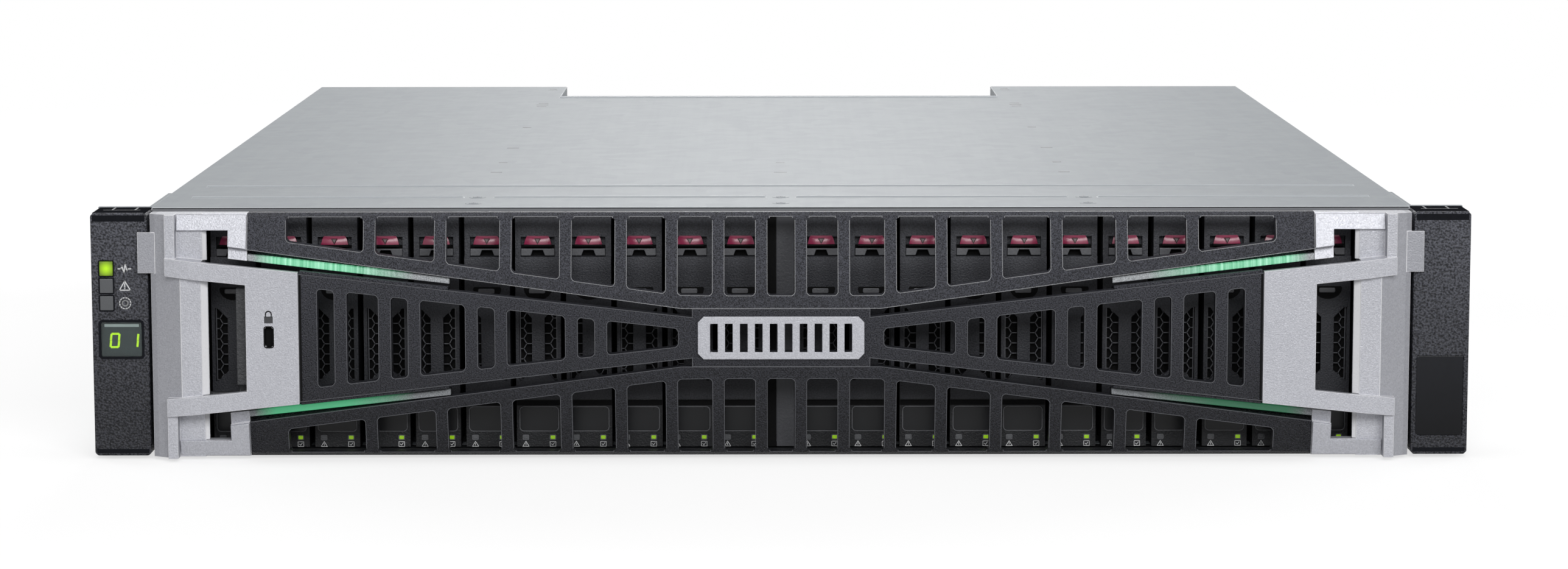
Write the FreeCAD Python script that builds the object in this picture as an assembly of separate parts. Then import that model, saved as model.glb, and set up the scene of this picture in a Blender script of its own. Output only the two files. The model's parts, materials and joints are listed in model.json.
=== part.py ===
import FreeCAD, Part
import math
import os

# Two-unit rack storage array: tray, cover, 24 slim drives, removable crossed bezel, rear modules.
# Millimetres. +X right, +Y to the rear, +Z up. The front faces -Y.
# While the pieces are made, Y = 0 is the front of the rack flanges and Z = 0 the tray's underside.

# Overall sizes
RACK_WIDTH = 482.6
EAR_WIDTH = 19.8
BODY_HEIGHT = 87.4
BODY_DEPTH = 526.0
SHEET = 1.2

# Clearances
RUN_CLEAR = 0.4
SIDE_CLEAR = 0.25
FIT_CLEAR = 0.3
PIN_CLEAR = 0.08

# Top cover
COVER_LAP = 7.0
RIM_FOLD = 10.0
NOTCH_DEPTH = 62.0
NOTCH_HEM = 4.0
BEAD_HEIGHT = 0.6
BEAD_WIDTH = 2.4
LONG_BEAD_BACK = 69.0
LONG_BEAD_INSET = 10.0
SHORT_BEAD_BACK = 31.0
SHORT_BEAD_GAP = 11.0
SHORT_BEADS = 4

# Rack ears
FLANGE_THICK = 2.0
FLANGE_EDGE_GAP = 0.6
LEG_DEPTH = 46.0
RACK_SLOT_INSET = 8.75
RACK_SLOT_EDGE = 5.6
SLOT_WIDTH = 6.8
SLOT_LENGTH = 10.3

# Ear caps
CAP_DEPTH = 18.0
CAP_WALL = 2.0
CAP_EDGE_GAP = 0.8
CAP_CORNER = 1.0
LENS_WIDTH = 4.7
LENS_HEIGHT = 5.1
LENS_PITCH = 6.1
LENS_DEPTH = 4.0
LENS_INSET = 2.9
LENS_PROUD = 0.3
LENS_FIT = 0.1
LENS_COUNT = 3
TOP_LENS_RISE = 23.4
DISPLAY_WIDTH = 14.5
DISPLAY_HEIGHT = 12.4
DISPLAY_DROP = 1.6
DISPLAY_INSET = 2.9
WINDOW_GLASS = 1.2
DISPLAY_DEPTH = 6.0
BLANK_WIDTH = 16.6
BLANK_HEIGHT = 28.3
BLANK_DROP = 22.2
BLANK_SINK = 0.5

# Drive bays
BAYS_PER_SIDE = 12
CENTRE_BAY = 10.5
DRIVE_GAP = 2.0
GUIDE_THICK = 2.0
GUIDE_RIB = 3.0
GUIDE_SETBACK = 2.8
DIVIDER_WIDTH = 6.2
DIVIDER_SETBACK = 2.0
DRIVE_FRONT = -6.4
CARRIER_FACE = 10.0
RAIL_LENGTH = 118.4
DISK_DEPTH = 100.4
RAIL_THICK = 4.6
DISK_SETBACK = 2.0
DISK_SIDE = 0.6
BUTTON_WIDTH = 9.0
BUTTON_TAPER = 1.0
BUTTON_HEIGHT = 3.0
BUTTON_DROP = 9.5
BUTTON_PROUD = 0.4
POCKET_WIDTH = 12.0
POCKET_HEIGHT = 7.0
POCKET_SINK = 3.0
LEVER_THICK = 1.6
LEVER_LENGTH = 51.0
LEVER_BAR = 4.5
VENT_DROP = 4.6
VENT_HEIGHT = 26.0
VENT_FLARE = 3.6
VENT_SIDE = 1.2

# Midplane
MIDPLANE_THICK = 3.2
MIDPLANE_BACK = 6.0
PLUG_CLEAR = 0.6
PLUG_WIDTH = 6.0
PLUG_HEIGHT = 42.0
AIR_SLOT_WIDTH = 24.0
AIR_SLOT_HEIGHT = 9.0
AIR_SLOT_RISE = 30.0
MODULE_PLUG_DEPTH = 12.0
MODULE_PLUG_WIDTH = 60.0
MODULE_PLUG_HEIGHT = 14.0

# Bezel
BEZEL_SIDE_GAP = 1.2
BEZEL_EDGE_GAP = 0.8
BOW_FRONT = 27.0
FACET_TILT = 15.0
GRILLE_THICK = 5.0
EDGE_CHAMFER = 1.2
CORNER_CUT = 0.9
HUB_HALF_WIDTH = 31.0
HUB_HALF_HEIGHT = 10.2
BOW_ROOT = 3.7
BOW_SLOPE = 0.112
STRIP_FLAT = 34.7
STRIP_SLOPE = 0.133
STRIP_BAND = 4.4
STRIP_RIM = 1.5
RIB_WIDTH = 4.2
RIB_PITCH = 13.8
RIB_PITCH_RATIO = 1.087
END_BLOCK = 13.5
BOW_END_BLOCK = 6.5
NARROW_SLOT = 5.9
WIDE_SLOT = 11.0
WIDE_SLOT_STEP = 4.6
BOW_RIB = 4.35
BOW_MARGIN = 4.5
HUB_VENT_WIDTH = 50.0
HUB_VENT_HEIGHT = 10.0
HUB_PLATE_WIDTH = 58.0
HUB_PLATE_HEIGHT = 15.0
HUB_PLATE_THICK = 1.0
HUB_LOUVRE_WIDTH = 2.6
HUB_LOUVRE_PITCH = 5.2
HUB_PLATE_CORNER = 2.0

# Light strips in the slits beside the bow
LIGHT_LENGTH = 70.7
LIGHT_HEIGHT = 2.3
LIGHT_RISE = 3.0
LIGHT_RECESS = 1.5
LIGHT_THICK = 2.5
LEDGE_THICK = 2.0

# Bezel ends
END_WIDTH = 34.0
PLATE_WIDTH = 18.3
PLATE_THICK = 3.0
PLATE_PROUD = 1.0
PLATE_LIP = 0.584
ARM_SLOPE = 0.104
ARM_HEIGHT = 6.3
WINDOW_WIDTH = 15.7
CREASE_WIDTH = 18.3
ELBOW_DROP = 2.0
OUTER_WIDTH = 5.8
COLUMN_WIDTH = 3.5
COLUMN_SINK = 3.0
SLOPE_WIDTH = 11.1
GRIP_SINK = 2.5
OUTER_FRONT = 19.0
BLOCK_BACK = 13.0
SMALL_WINDOW_INSET = 6.7
SMALL_WINDOW_RIM = 5.9
TAB_WIDTH = 4.4
TAB_ROOT = 2.0
TAB_HEIGHT = 14.3
TAB_DROP = 6.6
TAB_THICK = 1.6
LOCK_WIDTH = 3.2
LOCK_HEIGHT = 7.4
LOCK_INSET = 8.0
LOCK_RISE = 0.5
LOCK_CORNER = 0.9

# Bezel latch, in the left end
LATCH_SHOW = 3.9
LATCH_HIDE = 1.8
LATCH_PAD_HALF = 17.0
LATCH_BACK = 14.5
LATCH_BAR_DEPTH = 3.5
LATCH_PAD_FRONT = 23.5
LATCH_ARM_LOW = 20.4
LATCH_ARM_HEIGHT = 3.0
SPRING_LENGTH = 9.0
SPRING_HALF = 3.5
SPRING_LEAF = 0.5
SPRING_FOLDS = 4
POST_THICK = 1.6

# Rear modules
PSU_WIDTH = 115.6
MODULE_CLEAR = 0.5
MODULE_PLUG_GAP = 0.6
MOUTH_ROOM = 2.0
BULKHEAD = 3.0
FACE_THICK = 3.0
FAN_SIDE = 37.8
FAN_BAY_DEPTH = 30.0
FAN_ROOM = 2.0
FAN_TIP_R = 31.0
FAN_HUB_R = 13.0
FAN_DEPTH = 18.0
FAN_BLADES = 5
FAN_PITCH = 35.0
FAN_BLADE_THICK = 1.6
SHAFT_R = 3.0
SHAFT_LENGTH = 10.0
FAN_STANDOFF = 4.0
HEX_FLATS = 10.0
HEX_WEB = 1.6
INLET_SIDE = 20.8
INLET_DROP = 22.0
INLET_WIDTH = 24.0
INLET_HEIGHT = 16.4
INLET_DEPTH = 18.0
INLET_CHAMFER = 4.0
BLADE_WIDTH = 2.0
BLADE_HEIGHT = 4.0
BLADE_LENGTH = 14.0
BLADE_PITCH = 7.0
EARTH_RISE = 3.0
HANDLE_WIDTH = 34.0
HANDLE_BAR = 5.0
HANDLE_LATCH_GAP = 1.1
HANDLE_RISE = 1.0
HANDLE_GAP = 3.0
LUG_THICK = 3.0
LUG_ROUND = 3.0
HINGE_PIN_R = 1.5
PSU_LATCH_WIDTH = 12.0
PSU_LATCH_HEIGHT = 4.0
PSU_LATCH_PROUD = 7.0
PSU_LATCH_DEPTH = 6.0
PSU_LATCH_TRAVEL = 4.0
PSU_LATCH_DROP = 5.4

# Controller ports as seen from the rear
PORT_RISE = 4.0
PORT_DEPTH = 16.0
CAGE_COUNT = 4
CAGE_WIDTH = 14.0
CAGE_HEIGHT = 10.0
CAGE_PITCH = 17.0
CAGE_START = 12.0
JACK_WIDTH = 13.0
JACK_HEIGHT = 12.0
JACK_SHIFT = 14.0
LINK_WIDTH = 20.0
LINK_HEIGHT = 9.0
LINK_SHIFT = 44.0
CTRL_LEVER_LENGTH = 78.0
CTRL_LEVER_HEIGHT = 6.0
CTRL_LEVER_THICK = 4.0
CTRL_LEVER_GAP = 4.0
CTRL_LEVER_RISE = 4.05
CTRL_PIVOT_INSET = 10.0
CTRL_PIN_R = 2.0
CTRL_BOSS_R = 4.5
CTRL_LUG = 2.5

# Places that follow from the sizes above
BODY_WIDTH = RACK_WIDTH - 2 * EAR_WIDTH
Z_MID = BODY_HEIGHT / 2
WALL_IN = BODY_WIDTH / 2 - SHEET
EAR_OUT = RACK_WIDTH / 2
BAY_PITCH = (2 * (WALL_IN - SIDE_CLEAR) - CENTRE_BAY) / (2 * BAYS_PER_SIDE)
CARRIER_WIDTH = BAY_PITCH - DRIVE_GAP
FREE_LOW = SHEET + RUN_CLEAR
FREE_HIGH = BODY_HEIGHT - 2 * SHEET - RUN_CLEAR
CARRIER_LOW = FREE_LOW + GUIDE_THICK
CARRIER_HIGH = FREE_HIGH - GUIDE_THICK
CARRIER_MID = (CARRIER_LOW + CARRIER_HIGH) / 2
DISK_HEIGHT = CARRIER_HIGH - CARRIER_LOW - 2 * RAIL_THICK
CARRIER_FRONT = DRIVE_FRONT + LEVER_THICK
CARRIER_BACK = CARRIER_FRONT + CARRIER_FACE
POCKET_HIGH = FREE_HIGH - BUTTON_DROP + BUTTON_HEIGHT / 2
LEVER_HIGH = POCKET_HIGH - POCKET_HEIGHT
VENT_MID = CARRIER_MID - VENT_DROP
GUIDE_FRONT = CARRIER_BACK + GUIDE_SETBACK
GUIDE_LOW = SHEET + GUIDE_THICK
GUIDE_HIGH = BODY_HEIGHT - 2 * SHEET - GUIDE_THICK
MIDPLANE_Y = DRIVE_FRONT + RAIL_LENGTH + MIDPLANE_BACK
MODULE_FRONT = MIDPLANE_Y + MIDPLANE_THICK + MODULE_PLUG_DEPTH + MODULE_PLUG_GAP
BEZEL_HALF = BODY_WIDTH / 2 - BEZEL_SIDE_GAP
BEZEL_RISE = BODY_HEIGHT / 2 - BEZEL_EDGE_GAP
STRIP_END = BEZEL_HALF - END_WIDTH
PLATE_IN = STRIP_END - PLATE_WIDTH
WINDOW_OUT = STRIP_END + WINDOW_WIDTH
CREASE = STRIP_END + CREASE_WIDTH
FRAME_OUT = BEZEL_HALF - OUTER_WIDTH
COLUMN_IN = FRAME_OUT - COLUMN_WIDTH
SLOPE_IN = BEZEL_HALF - SLOPE_WIDTH
PLATE_FRONT = BOW_FRONT + PLATE_PROUD
SMALL_WINDOW_TOP = BEZEL_RISE - SMALL_WINDOW_RIM
TAB_HIGH = BEZEL_RISE - TAB_DROP
FACET_RATE = math.tan(math.radians(FACET_TILT))
BAY_WALL_IN = WALL_IN - PSU_WIDTH - 2 * MODULE_CLEAR - SHEET
PSU_MID_Z = (FREE_LOW + FREE_HIGH) / 2
PSU_MID = (WALL_IN + BAY_WALL_IN + SHEET) / 2
CTRL_HEIGHT = (BODY_HEIGHT - 3 * SHEET - 4 * RUN_CLEAR) / 2
CTRL_HALF_WIDTH = BAY_WALL_IN - MODULE_CLEAR
CTRL_REAR = BODY_DEPTH - NOTCH_DEPTH
CTRL_UPPER_MID = Z_MID + SHEET / 2 + RUN_CLEAR + CTRL_HEIGHT / 2
CTRL_LOWER_MID = BODY_HEIGHT - CTRL_UPPER_MID
REAR_REACH = BODY_DEPTH + HANDLE_GAP + HANDLE_BAR
FAN_SHIFT = PSU_WIDTH / 2 - FAN_SIDE
INLET_SHIFT = INLET_SIDE - PSU_WIDTH / 2
FAN_BAY_HALF = FAN_TIP_R + FAN_ROOM
FAN_BAY_FRONT = BODY_DEPTH - FACE_THICK - FAN_BAY_DEPTH

# The finished frame has its origin under the middle of the whole part.
SHIFT_Y = (PLATE_FRONT - REAR_REACH) / 2


def vector(x, y, z):
    return FreeCAD.Vector(x, y, z)


def box(x0, x1, y0, y1, z0, z1):
    return Part.makeBox(x1 - x0, y1 - y0, z1 - z0, vector(x0, y0, z0))


def cut_corners(points, size):
    """Closed outline with every corner cut off at one distance along both sides."""
    outline = []
    for i, point in enumerate(points):
        back = (points[i - 1] - point).normalize()
        ahead = (points[(i + 1) % len(points)] - point).normalize()
        outline += [point + back * size, point + ahead * size]
    return outline


def prism(points, along, corner=0.0):
    """Solid swept from a closed outline of vectors, with optional cut corners."""
    if corner > 0:
        points = cut_corners(points, corner)
    return Part.Face(Part.makePolygon(points + [points[0]])).extrude(along)


def prism_xz(points, y0, y1, corner=0.0):
    return prism([vector(x, y0, z) for x, z in points], vector(0, y1 - y0, 0), corner)


def prism_xy(points, z0, z1):
    return prism([vector(x, y, z0) for x, y in points], vector(0, 0, z1 - z0))


def prism_yz(points, x0, x1):
    return prism([vector(x0, y, z) for y, z in points], vector(x1 - x0, 0, 0))


def rectangle(x, z, width, height):
    w, h = width / 2, height / 2
    return [(x - w, z - h), (x + w, z - h), (x + w, z + h), (x - w, z + h)]


def cylinder(radius, height, base, axis):
    return Part.makeCylinder(radius, height, vector(*base), vector(*axis))


def fuse(shapes):
    whole = shapes[0].multiFuse(shapes[1:]) if len(shapes) > 1 else shapes[0]
    whole = whole.removeSplitter()
    return whole.Solids[0] if len(whole.Solids) == 1 else whole


def cut(shape, tools):
    left = shape.cut(tools)
    return left.Solids[0] if len(left.Solids) == 1 else left


def flip_x(shape):
    return shape.mirror(vector(0, 0, 0), vector(1, 0, 0))


def flip_z(shape):
    return shape.mirror(vector(0, 0, 0), vector(0, 0, 1))


def raise_mid(shape):
    """Move a shape that was made about the middle height to its place."""
    return shape.translated(vector(0, 0, Z_MID))


def save(name, shapes):
    whole = Part.makeCompound(shapes) if len(shapes) > 1 else shapes[0]
    whole.translated(vector(0, SHIFT_Y, 0)).exportStep("parts/" + name + ".step")


# Chassis


def chassis_tray():
    half = BODY_WIDTH / 2
    top = BODY_HEIGHT - SHEET
    fold = half - RIM_FOLD
    right = [
        (half, 0), (half, top), (fold, top), (fold, top - SHEET),
        (half - SHEET, top - SHEET), (half - SHEET, SHEET),
    ]
    left = [(-x, z) for x, z in reversed(right)]
    return prism_xz(right + left, FLANGE_THICK, BODY_DEPTH)


def bead(x0, x1, y):
    """Pressed bead across the cover, with a flat-topped section."""
    foot = BEAD_WIDTH / 2
    crown = foot - BEAD_HEIGHT
    top = BODY_HEIGHT + BEAD_HEIGHT
    section = [(y - foot, BODY_HEIGHT), (y + foot, BODY_HEIGHT), (y + crown, top), (y - crown, top)]
    return prism_yz(section, x0, x1)


def top_cover():
    half = BODY_WIDTH / 2
    notch_y = BODY_DEPTH - NOTCH_DEPTH
    outline = [
        (-half, -COVER_LAP), (half, -COVER_LAP), (half, BODY_DEPTH), (BAY_WALL_IN, BODY_DEPTH),
        (BAY_WALL_IN, notch_y), (-BAY_WALL_IN, notch_y), (-BAY_WALL_IN, BODY_DEPTH), (-half, BODY_DEPTH),
    ]
    pieces = [prism_xy(outline, BODY_HEIGHT - SHEET, BODY_HEIGHT)]
    hem_top = BODY_HEIGHT + BEAD_HEIGHT
    pieces.append(box(-BAY_WALL_IN, BAY_WALL_IN, notch_y - NOTCH_HEM, notch_y, BODY_HEIGHT, hem_top))
    reach = half - LONG_BEAD_INSET
    pieces.append(bead(-reach, reach, LONG_BEAD_BACK - COVER_LAP))
    length = (2 * reach - (SHORT_BEADS - 1) * SHORT_BEAD_GAP) / SHORT_BEADS
    for i in range(SHORT_BEADS):
        start = -reach + i * (length + SHORT_BEAD_GAP)
        pieces.append(bead(start, start + length, SHORT_BEAD_BACK - COVER_LAP))
    return fuse(pieces)


def bay_edges():
    """Distance from the centre line of each wall between two drive bays."""
    return [CENTRE_BAY / 2 + i * BAY_PITCH for i in range(BAYS_PER_SIDE)]


def drive_guide(plate_low, plate_high, rib_end):
    """Grooved plate that the drive carriers run in, under or over the bays."""
    reach = WALL_IN - FIT_CLEAR
    back = MIDPLANE_Y + MIDPLANE_THICK
    pieces = [box(-reach, reach, GUIDE_FRONT, back, plate_low, plate_high)]
    rib_half = DRIVE_GAP / 2 - RUN_CLEAR
    rib_back = DRIVE_FRONT + RAIL_LENGTH
    low, high = min(plate_low, rib_end), max(plate_high, rib_end)
    for edge in bay_edges():
        for x in (-edge, edge):
            pieces.append(box(x - rib_half, x + rib_half, GUIDE_FRONT, rib_back, low, high))
    return fuse(pieces)


def centre_divider():
    half = DIVIDER_WIDTH / 2
    return box(-half, half, DRIVE_FRONT + DIVIDER_SETBACK, MIDPLANE_Y, GUIDE_LOW, GUIDE_HIGH)


def bay_centres():
    """Centre of each drive bay, from left to right."""
    right = [edge + BAY_PITCH / 2 for edge in bay_edges()]
    return [-x for x in reversed(right)] + right


def midplane_board():
    reach = WALL_IN - FIT_CLEAR
    board = box(-reach, reach, MIDPLANE_Y, MIDPLANE_Y + MIDPLANE_THICK, GUIDE_LOW, GUIDE_HIGH)
    slots = []
    for x in bay_centres()[::2]:
        hole = rectangle(x + BAY_PITCH / 2, CARRIER_MID + AIR_SLOT_RISE, AIR_SLOT_WIDTH, AIR_SLOT_HEIGHT)
        slots.append(prism_xz(hole, MIDPLANE_Y, MIDPLANE_Y + MIDPLANE_THICK))
    return cut(board, slots)


def plug(x, z, width, height, y0, y1):
    return prism_xz(rectangle(x, z, width, height), y0, y1)


def midplane_connectors():
    disk_back = CARRIER_BACK + DISK_SETBACK + DISK_DEPTH
    plugs = []
    for x in bay_centres():
        plugs.append(plug(x, CARRIER_MID, PLUG_WIDTH, PLUG_HEIGHT, disk_back + PLUG_CLEAR, MIDPLANE_Y))
    back = MIDPLANE_Y + MIDPLANE_THICK
    for x, z in ((-PSU_MID, PSU_MID_Z), (PSU_MID, PSU_MID_Z), (0, CTRL_UPPER_MID), (0, CTRL_LOWER_MID)):
        plugs.append(plug(x, z, MODULE_PLUG_WIDTH, MODULE_PLUG_HEIGHT, back, back + MODULE_PLUG_DEPTH))
    return plugs


def module_bay_walls():
    """Two upright partitions with the shelf between the controllers."""
    front = MIDPLANE_Y + MIDPLANE_THICK
    outer = BAY_WALL_IN + SHEET
    top = BODY_HEIGHT - SHEET
    shelf_low, shelf_high = Z_MID - SHEET / 2, Z_MID + SHEET / 2
    return fuse([
        box(BAY_WALL_IN, outer, front, BODY_DEPTH, SHEET, top),
        box(-outer, -BAY_WALL_IN, front, BODY_DEPTH, SHEET, top),
        box(-BAY_WALL_IN, BAY_WALL_IN, front + MODULE_PLUG_DEPTH, CTRL_REAR, shelf_low, shelf_high),
    ])


# Rack ears


def ear_bracket():
    """Right-hand angle bracket with two slots for the rack screws."""
    half = BODY_WIDTH / 2
    low, high = FLANGE_EDGE_GAP, BODY_HEIGHT - FLANGE_EDGE_GAP
    plate = box(half, EAR_OUT, 0, FLANGE_THICK, low, high)
    leg = box(half, half + FLANGE_THICK, 0, LEG_DEPTH, low, high)
    slots = []
    straight = (SLOT_LENGTH - SLOT_WIDTH) / 2
    x = EAR_OUT - RACK_SLOT_INSET
    r = SLOT_WIDTH / 2
    for z in (RACK_SLOT_EDGE, BODY_HEIGHT - RACK_SLOT_EDGE):
        slots.append(box(x - straight, x + straight, 0, FLANGE_THICK, z - r, z + r))
        for end in (x - straight, x + straight):
            slots.append(cylinder(r, FLANGE_THICK, (end, 0, z), (0, 1, 0)))
    return cut(fuse([plate, leg]), [fuse(slots[:3]), fuse(slots[3:])])


def ear_cap():
    """Right-hand hollow cap over the rack flange, open to the rear."""
    inner = BODY_WIDTH / 2
    height = BODY_HEIGHT - 2 * CAP_EDGE_GAP
    mid = (inner + EAR_OUT) / 2
    width = EAR_OUT - inner
    shell = prism_xz(rectangle(mid, Z_MID, width, height), -CAP_DEPTH, 0, CAP_CORNER)
    hollow = rectangle(mid, Z_MID, width - 2 * CAP_WALL, height - 2 * CAP_WALL)
    return cut(shell, [prism_xz(hollow, CAP_WALL - CAP_DEPTH, 0)])


def ear_cap_right():
    """The blank field low on the right cap is a shallow recess."""
    mid = (BODY_WIDTH / 2 + EAR_OUT) / 2
    field = rectangle(mid, Z_MID - BLANK_DROP, BLANK_WIDTH, BLANK_HEIGHT)
    return cut(ear_cap(), [prism_xz(field, -CAP_DEPTH, BLANK_SINK - CAP_DEPTH)])


def lens_centres():
    x = LENS_INSET + LENS_WIDTH / 2 - EAR_OUT
    return [(x, Z_MID + TOP_LENS_RISE - i * LENS_PITCH) for i in range(LENS_COUNT)]


def display_centre():
    return DISPLAY_INSET + DISPLAY_WIDTH / 2 - EAR_OUT, Z_MID - DISPLAY_DROP


def ear_cap_left():
    holes = []
    for x, z in lens_centres():
        outline = rectangle(x, z, LENS_WIDTH + 2 * LENS_FIT, LENS_HEIGHT + 2 * LENS_FIT)
        holes.append(prism_xz(outline, -CAP_DEPTH, CAP_WALL - CAP_DEPTH))
    x, z = display_centre()
    outline = rectangle(x, z, DISPLAY_WIDTH + 2 * LENS_FIT, DISPLAY_HEIGHT + 2 * LENS_FIT)
    holes.append(prism_xz(outline, -CAP_DEPTH, CAP_WALL - CAP_DEPTH))
    return cut(flip_x(ear_cap()), holes)


def status_lenses():
    lenses = []
    for x, z in lens_centres():
        outline = rectangle(x, z, LENS_WIDTH, LENS_HEIGHT)
        lenses.append(prism_xz(outline, -CAP_DEPTH - LENS_PROUD, LENS_DEPTH - CAP_DEPTH))
    return lenses


def display_window():
    x, z = display_centre()
    return prism_xz(rectangle(x, z, DISPLAY_WIDTH, DISPLAY_HEIGHT), -CAP_DEPTH, WINDOW_GLASS - CAP_DEPTH)


def display_module():
    x, z = display_centre()
    front = WINDOW_GLASS - CAP_DEPTH
    return prism_xz(rectangle(x, z, DISPLAY_WIDTH, DISPLAY_HEIGHT), front, front + DISPLAY_DEPTH)


# Drives


def drive_carrier():
    """Tall face with the button's pocket and an air window, on two rails that hold the disk."""
    half = CARRIER_WIDTH / 2
    rail_end = DRIVE_FRONT + RAIL_LENGTH
    body = fuse([
        box(-half, half, CARRIER_FRONT, CARRIER_BACK, FREE_LOW, FREE_HIGH),
        box(-half, half, CARRIER_BACK, rail_end, CARRIER_LOW, CARRIER_LOW + RAIL_THICK),
        box(-half, half, CARRIER_BACK, rail_end, CARRIER_HIGH - RAIL_THICK, CARRIER_HIGH),
    ])
    pocket = rectangle(0, POCKET_HIGH - POCKET_HEIGHT / 2, POCKET_WIDTH, POCKET_HEIGHT)
    window = rectangle(0, VENT_MID, CARRIER_WIDTH - 2 * VENT_SIDE, VENT_HEIGHT)
    return cut(body, [
        prism_xz(pocket, CARRIER_FRONT, CARRIER_FRONT + POCKET_SINK),
        prism_xz(window, CARRIER_FRONT, CARRIER_BACK),
    ])


def drive_disk():
    half = CARRIER_WIDTH / 2 - DISK_SIDE
    front = CARRIER_BACK + DISK_SETBACK
    low = CARRIER_LOW + RAIL_THICK
    return box(-half, half, front, front + DISK_DEPTH, low, low + DISK_HEIGHT)


def drive_lever():
    """Pull lever: a flat plate that narrows to a slim bar between two vents."""
    half = CARRIER_WIDTH / 2
    plate = box(-half, half, DRIVE_FRONT, CARRIER_FRONT, LEVER_HIGH - LEVER_LENGTH, LEVER_HIGH)
    bar, side, rise = LEVER_BAR / 2, half - VENT_SIDE, VENT_HEIGHT / 2
    upper = [(bar, rise - VENT_FLARE), (bar + VENT_FLARE, rise), (side, rise)]
    ring = upper + [(x, -z) for x, z in reversed(upper)]
    vent = prism_xz([(x, VENT_MID + z) for x, z in ring], DRIVE_FRONT, CARRIER_FRONT)
    return cut(plate, [vent, flip_x(vent)])


def drive_button():
    foot = BUTTON_WIDTH / 2
    top = foot - BUTTON_TAPER
    z = POCKET_HIGH - BUTTON_HEIGHT / 2
    h = BUTTON_HEIGHT / 2
    outline = [(-foot, z - h), (foot, z - h), (top, z + h), (-top, z + h)]
    return prism_xz(outline, CARRIER_FRONT - BUTTON_PROUD, CARRIER_FRONT + POCKET_SINK)


# Bezel, made about the middle height


def bow_edge(x):
    return BOW_ROOT + BOW_SLOPE * x


def strip_edge(x):
    return HUB_HALF_HEIGHT + STRIP_SLOPE * max(0.0, x - STRIP_FLAT)


def arm_edge(x):
    return bow_edge(PLATE_IN) + PLATE_LIP + ARM_SLOPE * (x - PLATE_IN)


def facet_y(z):
    """Front of the leaning upper facet at a height above the middle."""
    return FACET_RATE * (z - HUB_HALF_HEIGHT) - BOW_FRONT


def facet_slab(near, far, chamfer=0.0):
    """Leaning slab between two depths behind the upper facet."""
    low, high = HUB_HALF_HEIGHT, BEZEL_RISE
    section = [
        (facet_y(low) + far, low), (facet_y(high) + far, high), (facet_y(high) + near + chamfer, high),
        (facet_y(high - chamfer) + near, high - chamfer), (facet_y(low) + near, low),
    ]
    if chamfer == 0:
        del section[3]
    return prism_yz(section, -BEZEL_HALF, BEZEL_HALF)


def rib_centres():
    """Upright ribs of a strip: the pitch grows by one ratio from the hub outwards."""
    step = RIB_PITCH
    x = step / 2
    centres = []
    while x < STRIP_END - END_BLOCK - 1.5 * RIB_WIDTH:
        centres.append(x)
        step *= RIB_PITCH_RATIO
        x += step
    return centres


def strip_window(x0, x1):
    top = BEZEL_RISE - STRIP_RIM
    inner0 = strip_edge(abs(x0)) + STRIP_BAND
    inner1 = strip_edge(abs(x1)) + STRIP_BAND
    return prism_xz([(x0, inner0), (x1, inner1), (x1, top), (x0, top)], -PLATE_FRONT, 0, CORNER_CUT)


def ledge_foot(x):
    return bow_edge(x) + LIGHT_RISE - LIGHT_HEIGHT / 2


def light_ledge(x0, x1):
    """Ledge behind the slit, from the foot of the light strip up to the grille strip."""
    outline = [(x0, ledge_foot(x0)), (x1, ledge_foot(x1)), (x1, strip_edge(x1)), (x0, strip_edge(x0))]
    return prism_xz(outline, -PLATE_FRONT, 0)


def grille_strip():
    """Upper strip: a leaning plate with tall windows, and ledges that carry the light strips."""
    corner = strip_edge(STRIP_END)
    outline = [
        (-STRIP_END, corner), (-STRIP_FLAT, HUB_HALF_HEIGHT), (STRIP_FLAT, HUB_HALF_HEIGHT),
        (STRIP_END, corner), (STRIP_END, BEZEL_RISE), (-STRIP_END, BEZEL_RISE),
    ]
    plate = prism_xz(outline, -PLATE_FRONT, 0).common(facet_slab(0, GRILLE_THICK, EDGE_CHAMFER))
    ribs = rib_centres()
    half = RIB_WIDTH / 2
    windows = [strip_window(half - ribs[0], ribs[0] - half)]
    for start, end in zip(ribs, ribs[1:] + [STRIP_END - END_BLOCK + half]):
        windows.append(strip_window(start + half, end - half))
        windows.append(strip_window(half - end, -start - half))
    near = LIGHT_RECESS + LIGHT_THICK
    ledge = light_ledge(STRIP_END - LIGHT_LENGTH, STRIP_END)
    ledge = ledge.common(facet_slab(near, near + LEDGE_THICK))
    return fuse([plate.cut(windows), ledge, flip_x(ledge)])


def light_strip():
    x0, x1 = STRIP_END - LIGHT_LENGTH, STRIP_END
    foot0, foot1 = ledge_foot(x0), ledge_foot(x1)
    outline = [(x0, foot0), (x1, foot1), (x1, foot1 + LIGHT_HEIGHT), (x0, foot0 + LIGHT_HEIGHT)]
    bar = prism_xz(outline, -PLATE_FRONT, 0).common(facet_slab(LIGHT_RECESS, LIGHT_RECESS + LIGHT_THICK))
    return bar.Solids[0]


def light_strips():
    upper = light_strip()
    four = [upper, flip_x(upper), flip_z(upper), flip_z(flip_x(upper))]
    return [raise_mid(bar) for bar in four]


def bow_slots():
    """Slots of one wing from the outside in: narrow and wide in turn, each wide one wider."""
    slots = []
    x = PLATE_IN - BOW_END_BLOCK
    wide = WIDE_SLOT
    width = NARROW_SLOT
    while x - width > HUB_HALF_WIDTH + BOW_RIB / 2:
        slots.append((x - width, x))
        x -= width + BOW_RIB
        if width == NARROW_SLOT:
            width = wide
            wide += WIDE_SLOT_STEP
        else:
            width = NARROW_SLOT
    return slots


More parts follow.
